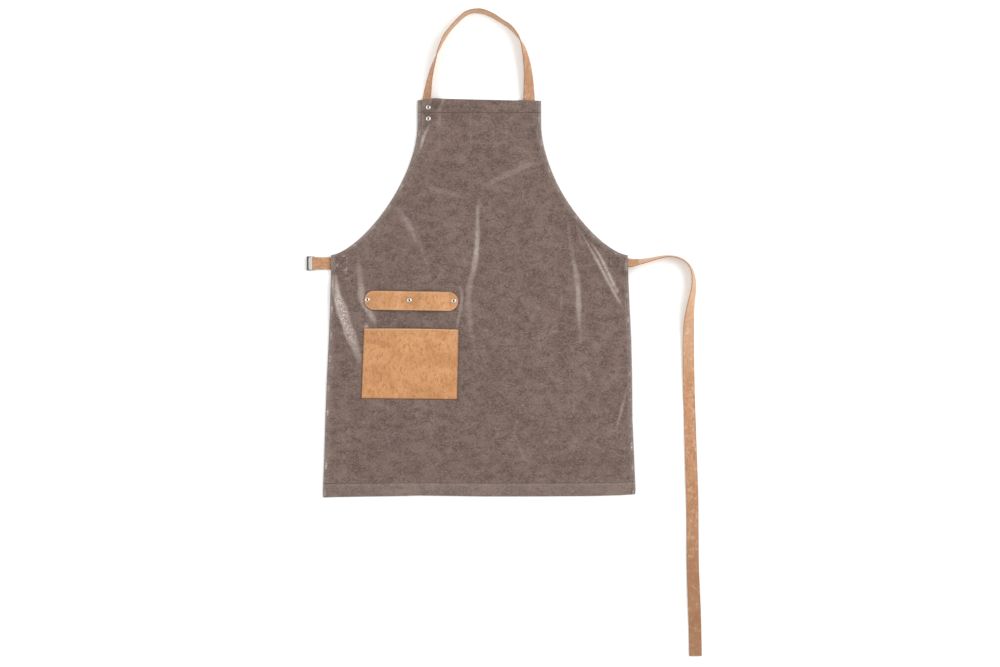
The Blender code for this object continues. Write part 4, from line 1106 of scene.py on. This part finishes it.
def makeRivet(name, node, x, y, foot, s=rivetShape):
    # place = (x + r cos a, y + r sin a, h), where r and h run along the profile, from the middle of the
    # disc below to the middle of the cap
    radius, cap = s["radius"], s["cap"]
    profile = np.array([
        (0.02, 0.0), (s["disc"] - 0.3, 0.0), (s["disc"], 0.15), (s["disc"], s["back"] - 0.15),
        (s["disc"] - 0.3, s["back"]), (s["post"], s["back"]), (s["post"], foot), (radius - 0.2, foot),
        *[(radius * out, foot + cap * up) for out, up in capProfile], (0.02, foot + 0.35 * cap),
    ])
    angle = np.linspace(0, 2 * math.pi, s["sides"], endpoint=False)
    spun = np.stack(np.broadcast_arrays(
        x + profile[:, [0]] * np.cos(angle), y + profile[:, [0]] * np.sin(angle), profile[:, [1]]
    ), axis=-1)
    quads = tubeQuads(*spun.shape[:2])
    # painted shade and reflection in the dimple
    dark = np.array([0.0] * 15 + [0.35, 0.75, 1.0, 1.0, 1.0])  # the dimple in the cap
    marks = {"shadeAndReflection": np.repeat(dark, s["sides"])}
    piece = addSurface(name, spun.reshape(-1, 3), quads, nickel, marks=marks)
    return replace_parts(piece, node)


def makeRivets():
    bandFoot = boardTop + touching + toolBand["wall"] - 0.25
    for label, rivetX in zip(("left", "middle", "right"), bandRivets):
        x, y = (float(value) for value in tilted(rivetX, toolBand["y"] + rivetUp))
        makeRivet("bandRivet" + label.capitalize(), "band_rivet_" + label, x, y, bandFoot)
    x = neckLeft + strapWidth / 2
    for label, y in (("upper", 784.0), ("lower", 761.5)):
        foot = float(panelHeights(np.array([x]), np.array([y]))[1][0]) + 0.05
        makeRivet("neckRivet" + label.capitalize(), "neck_rivet_" + label, x, y, foot)


makeRivets()
print("rivets made")


# stitches: one short bent thread, copied along every seam

stitchShape = {"pitch": 4.1, "length": 3.3, "radius": 0.40, "sag": 0.55}


def threadAlong(name, lines, heightAt, moved, material, pitch):
    # each stitch is a tube whose middle lies on the cloth and whose ends dive into it:
    # place = centre + run a + side b + up (c - sag a4); then it is moved as the cloth under it was
    s = stitchShape
    knots = [evenly(np.asarray(line, float), pitch) for line in lines]
    starts, ends = np.vstack([line[:-1] for line in knots]), np.vstack([line[1:] for line in knots])
    centre, run = (starts + ends) / 2, ends - starts
    run = run / np.linalg.norm(run, axis=1)[:, None]
    half = s["length"] / 2 * pitch / s["pitch"]
    ahead, behind = centre + run * half, centre - run * half
    zAhead, zBehind, zCentre = (heightAt(p[:, 0], p[:, 1]) for p in (ahead, behind, centre))
    along = np.linspace(-1, 1, 5)
    girth = np.sqrt(np.clip(1.08 - along**2 * 0.75, 0.05, 1))
    angle = np.linspace(0, 2 * math.pi, 6, endpoint=False)
    a = np.repeat(along, 6)
    b = np.outer(girth, np.cos(angle)).ravel() * s["radius"]
    c = np.outer(girth, np.sin(angle)).ravel() * s["radius"]
    side = np.stack([-run[:, 1], run[:, 0]], axis=1)
    plan = centre[:, None] + run[:, None] * (a * half)[None, :, None] + side[:, None] * b[None, :, None]
    tilt, bow = (zAhead - zBehind) / 2, (zAhead + zBehind) / 2 - zCentre
    slope = zCentre[:, None] + tilt[:, None] * a + bow[:, None] * a**2
    z = slope + c[None, :] + s["radius"] * 0.55 - s["sag"] * (a**4)[None, :]
    points = np.stack([*moved(plan[..., 0], plan[..., 1]), z], axis=-1)
    single = gridQuads(5, 6, wrapColumns=True)[:, ::-1]
    caps = np.array([(0, 1, 2, 3), (0, 3, 4, 5), (27, 26, 25, 24), (29, 28, 27, 24)])
    single = np.vstack([single, caps])
    quads = (single[None] + (np.arange(len(points)) * 30)[:, None, None]).reshape(-1, 4)
    uv = np.tile(np.stack([a * half, np.tile(np.arange(6) * 0.35, 5)], axis=1), (len(points), 1))
    return addSurface(name, points.reshape(-1, 3), quads, material, uv=uv)


def sideSeam(sign):
    # the outline pulled in by the seam's distance, from the hem to the top edge
    inset = panel["sideSeam"]
    run = headings(sideLine)
    pulled = sideLine + np.stack([-run[:, 1], run[:, 0]], axis=1) * inset
    distance = np.abs(nearestOnLine(pulled[:, 0], pulled[:, 1], sideLine)[0])
    pulled = pulled[distance > inset * 0.97]
    pulled = pulled[(pulled[:, 1] > 1.5) & (pulled[:, 1] < panel["length"] - 1.5)]
    return evenly(np.column_stack([sign * pulled[:, 0], pulled[:, 1]]), 3.0)


def crossedBox(centreX, centreY, width, height):
    # a sewn box with its two diagonals
    x, y = centreX + np.array((-1, 1, 1, -1)) * width / 2, centreY + np.array((-1, -1, 1, 1)) * height / 2
    corners = np.stack([x, y], axis=1)
    return [corners[list(pair)] for pair in ((0, 1), (1, 2), (2, 3), (3, 0), (0, 2), (1, 3))]


def twiceSewn(x, y, width, height, between=1.6):
    # a crossed box, and a second one inside it
    return [*crossedBox(x, y, width, height), *crossedBox(x, y, width - between, height - between)]


def clothTop(x, y):
    return panelHeights(x, y)[1]


def pocketTop(x, y):
    return pocketHeights(x, y)[1]


def seamOnPanel(name, lines, material, pitch=stitchShape["pitch"]):
    return threadAlong(name, lines, clothTop, wander, material, pitch)


def hemSeams():
    low, high = panel["bottomSeam"], panel["length"] - panel["topSeam"]
    lowHalf, highHalf = sideX(low) - 2.0, panel["bibWidth"] / 2 - 2.0
    return [[(-lowHalf, low), (lowHalf, low)], [(-highHalf, high), (highHalf, high)]]


def pocketSeam(inset=3.6, fromMouth=2.0):
    half, top = pocket["width"] / 2 - inset, pocket["height"] - fromMouth
    corners = [(-half, top), (-half, inset), (half, inset), (half, top)]
    return [corners[:2], corners[1:3], corners[2:]]


sideStitches = seamOnPanel("sideStitches", [sideSeam(-1), sideSeam(1)], clothThread)
hemStitches = seamOnPanel("hemStitches", hemSeams(), darkThread)
boxPitch = 3.4  # the boxes over the strap ends are sewn closer
tabStitches = seamOnPanel("tabStitches", twiceSewn(-280, 470.5, 20, 23), darkThread, boxPitch)
tieStitches = seamOnPanel("tieStitches", twiceSewn(272, 472, 20, 18), darkThread, boxPitch)
pocketStitches = threadAlong(
    "pocketStitches", pocketSeam(), pocketTop, pocketPlace, tanThread, stitchShape["pitch"]
)
print("stitches made")


# floor and light: a pale table and broad softboxes, as for a catalogue photograph

stageLook = {"floorSize": 30.0, "world": 0.72, "key": 70.0, "fill": 31.0}


def makeFloor():
    # a white table that gives off a little light of its own, so that shadows stay faint
    glow = {"Emission Color": (1.0, 1.0, 1.0, 1.0), "Emission Strength": 0.08}
    made, tree, shader = startMaterial("paleFloor", {"Roughness": 0.85, **glow})
    place = addNode(tree, "TexCoord").outputs["Object"]
    cloud = addNode(tree, "TexNoise", {"Scale": 1.2, "Detail": 2.0}, {"Vector": place}).outputs[0]
    colour = addNode(tree, "ValToRGB", {"stops": [(0.3, "#f8f8f6"), (0.7, "#fbfbf9")]}, {0: cloud}).outputs[0]
    finishMaterial(tree, shader, colour)
    half = stageLook["floorSize"] / 2
    corners = [(x * half, y * half, -0.0004) for x, y in ((-1, -1), (1, -1), (1, 1), (-1, 1))]
    mesh = bpy.data.meshes.new("floor")
    mesh.from_pydata(corners, [], [(0, 1, 2, 3)])
    mesh.materials.append(made)
    floor = bpy.data.objects.new("floor", mesh)
    bpy.context.scene.collection.objects.link(floor)


def addSoftbox(name, place, size, power):
    light = bpy.data.lights.new(name, "AREA")
    light.shape = "RECTANGLE"
    light.size, light.size_y = size
    light.energy = power
    lamp = bpy.data.objects.new(name, light)
    bpy.context.scene.collection.objects.link(lamp)
    lamp.location = place
    aim = np.array((0.0, 0.05, 0.0)) - np.array(place)
    tip, turn = math.atan2(math.hypot(aim[0], aim[1]), -aim[2]), math.atan2(aim[1], aim[0]) - math.pi / 2
    lamp.rotation_euler = (tip, 0.0, turn)


makeFloor()
addSoftbox("keyLight", (2.3, 0.75, 2.2), (3.0, 1.8), stageLook["key"])
addSoftbox("fillLight", (-2.4, 0.3, 2.2), (3.0, 1.8), stageLook["fill"])
world = bpy.data.worlds.new("studio")
world.use_nodes = True
background = world.node_tree.nodes["Background"]
background.inputs["Color"].default_value = (1.0, 1.0, 1.0, 1.0)
background.inputs["Strength"].default_value = stageLook["world"]
bpy.context.scene.world = world
bpy.context.scene.view_settings.view_transform = "Standard"
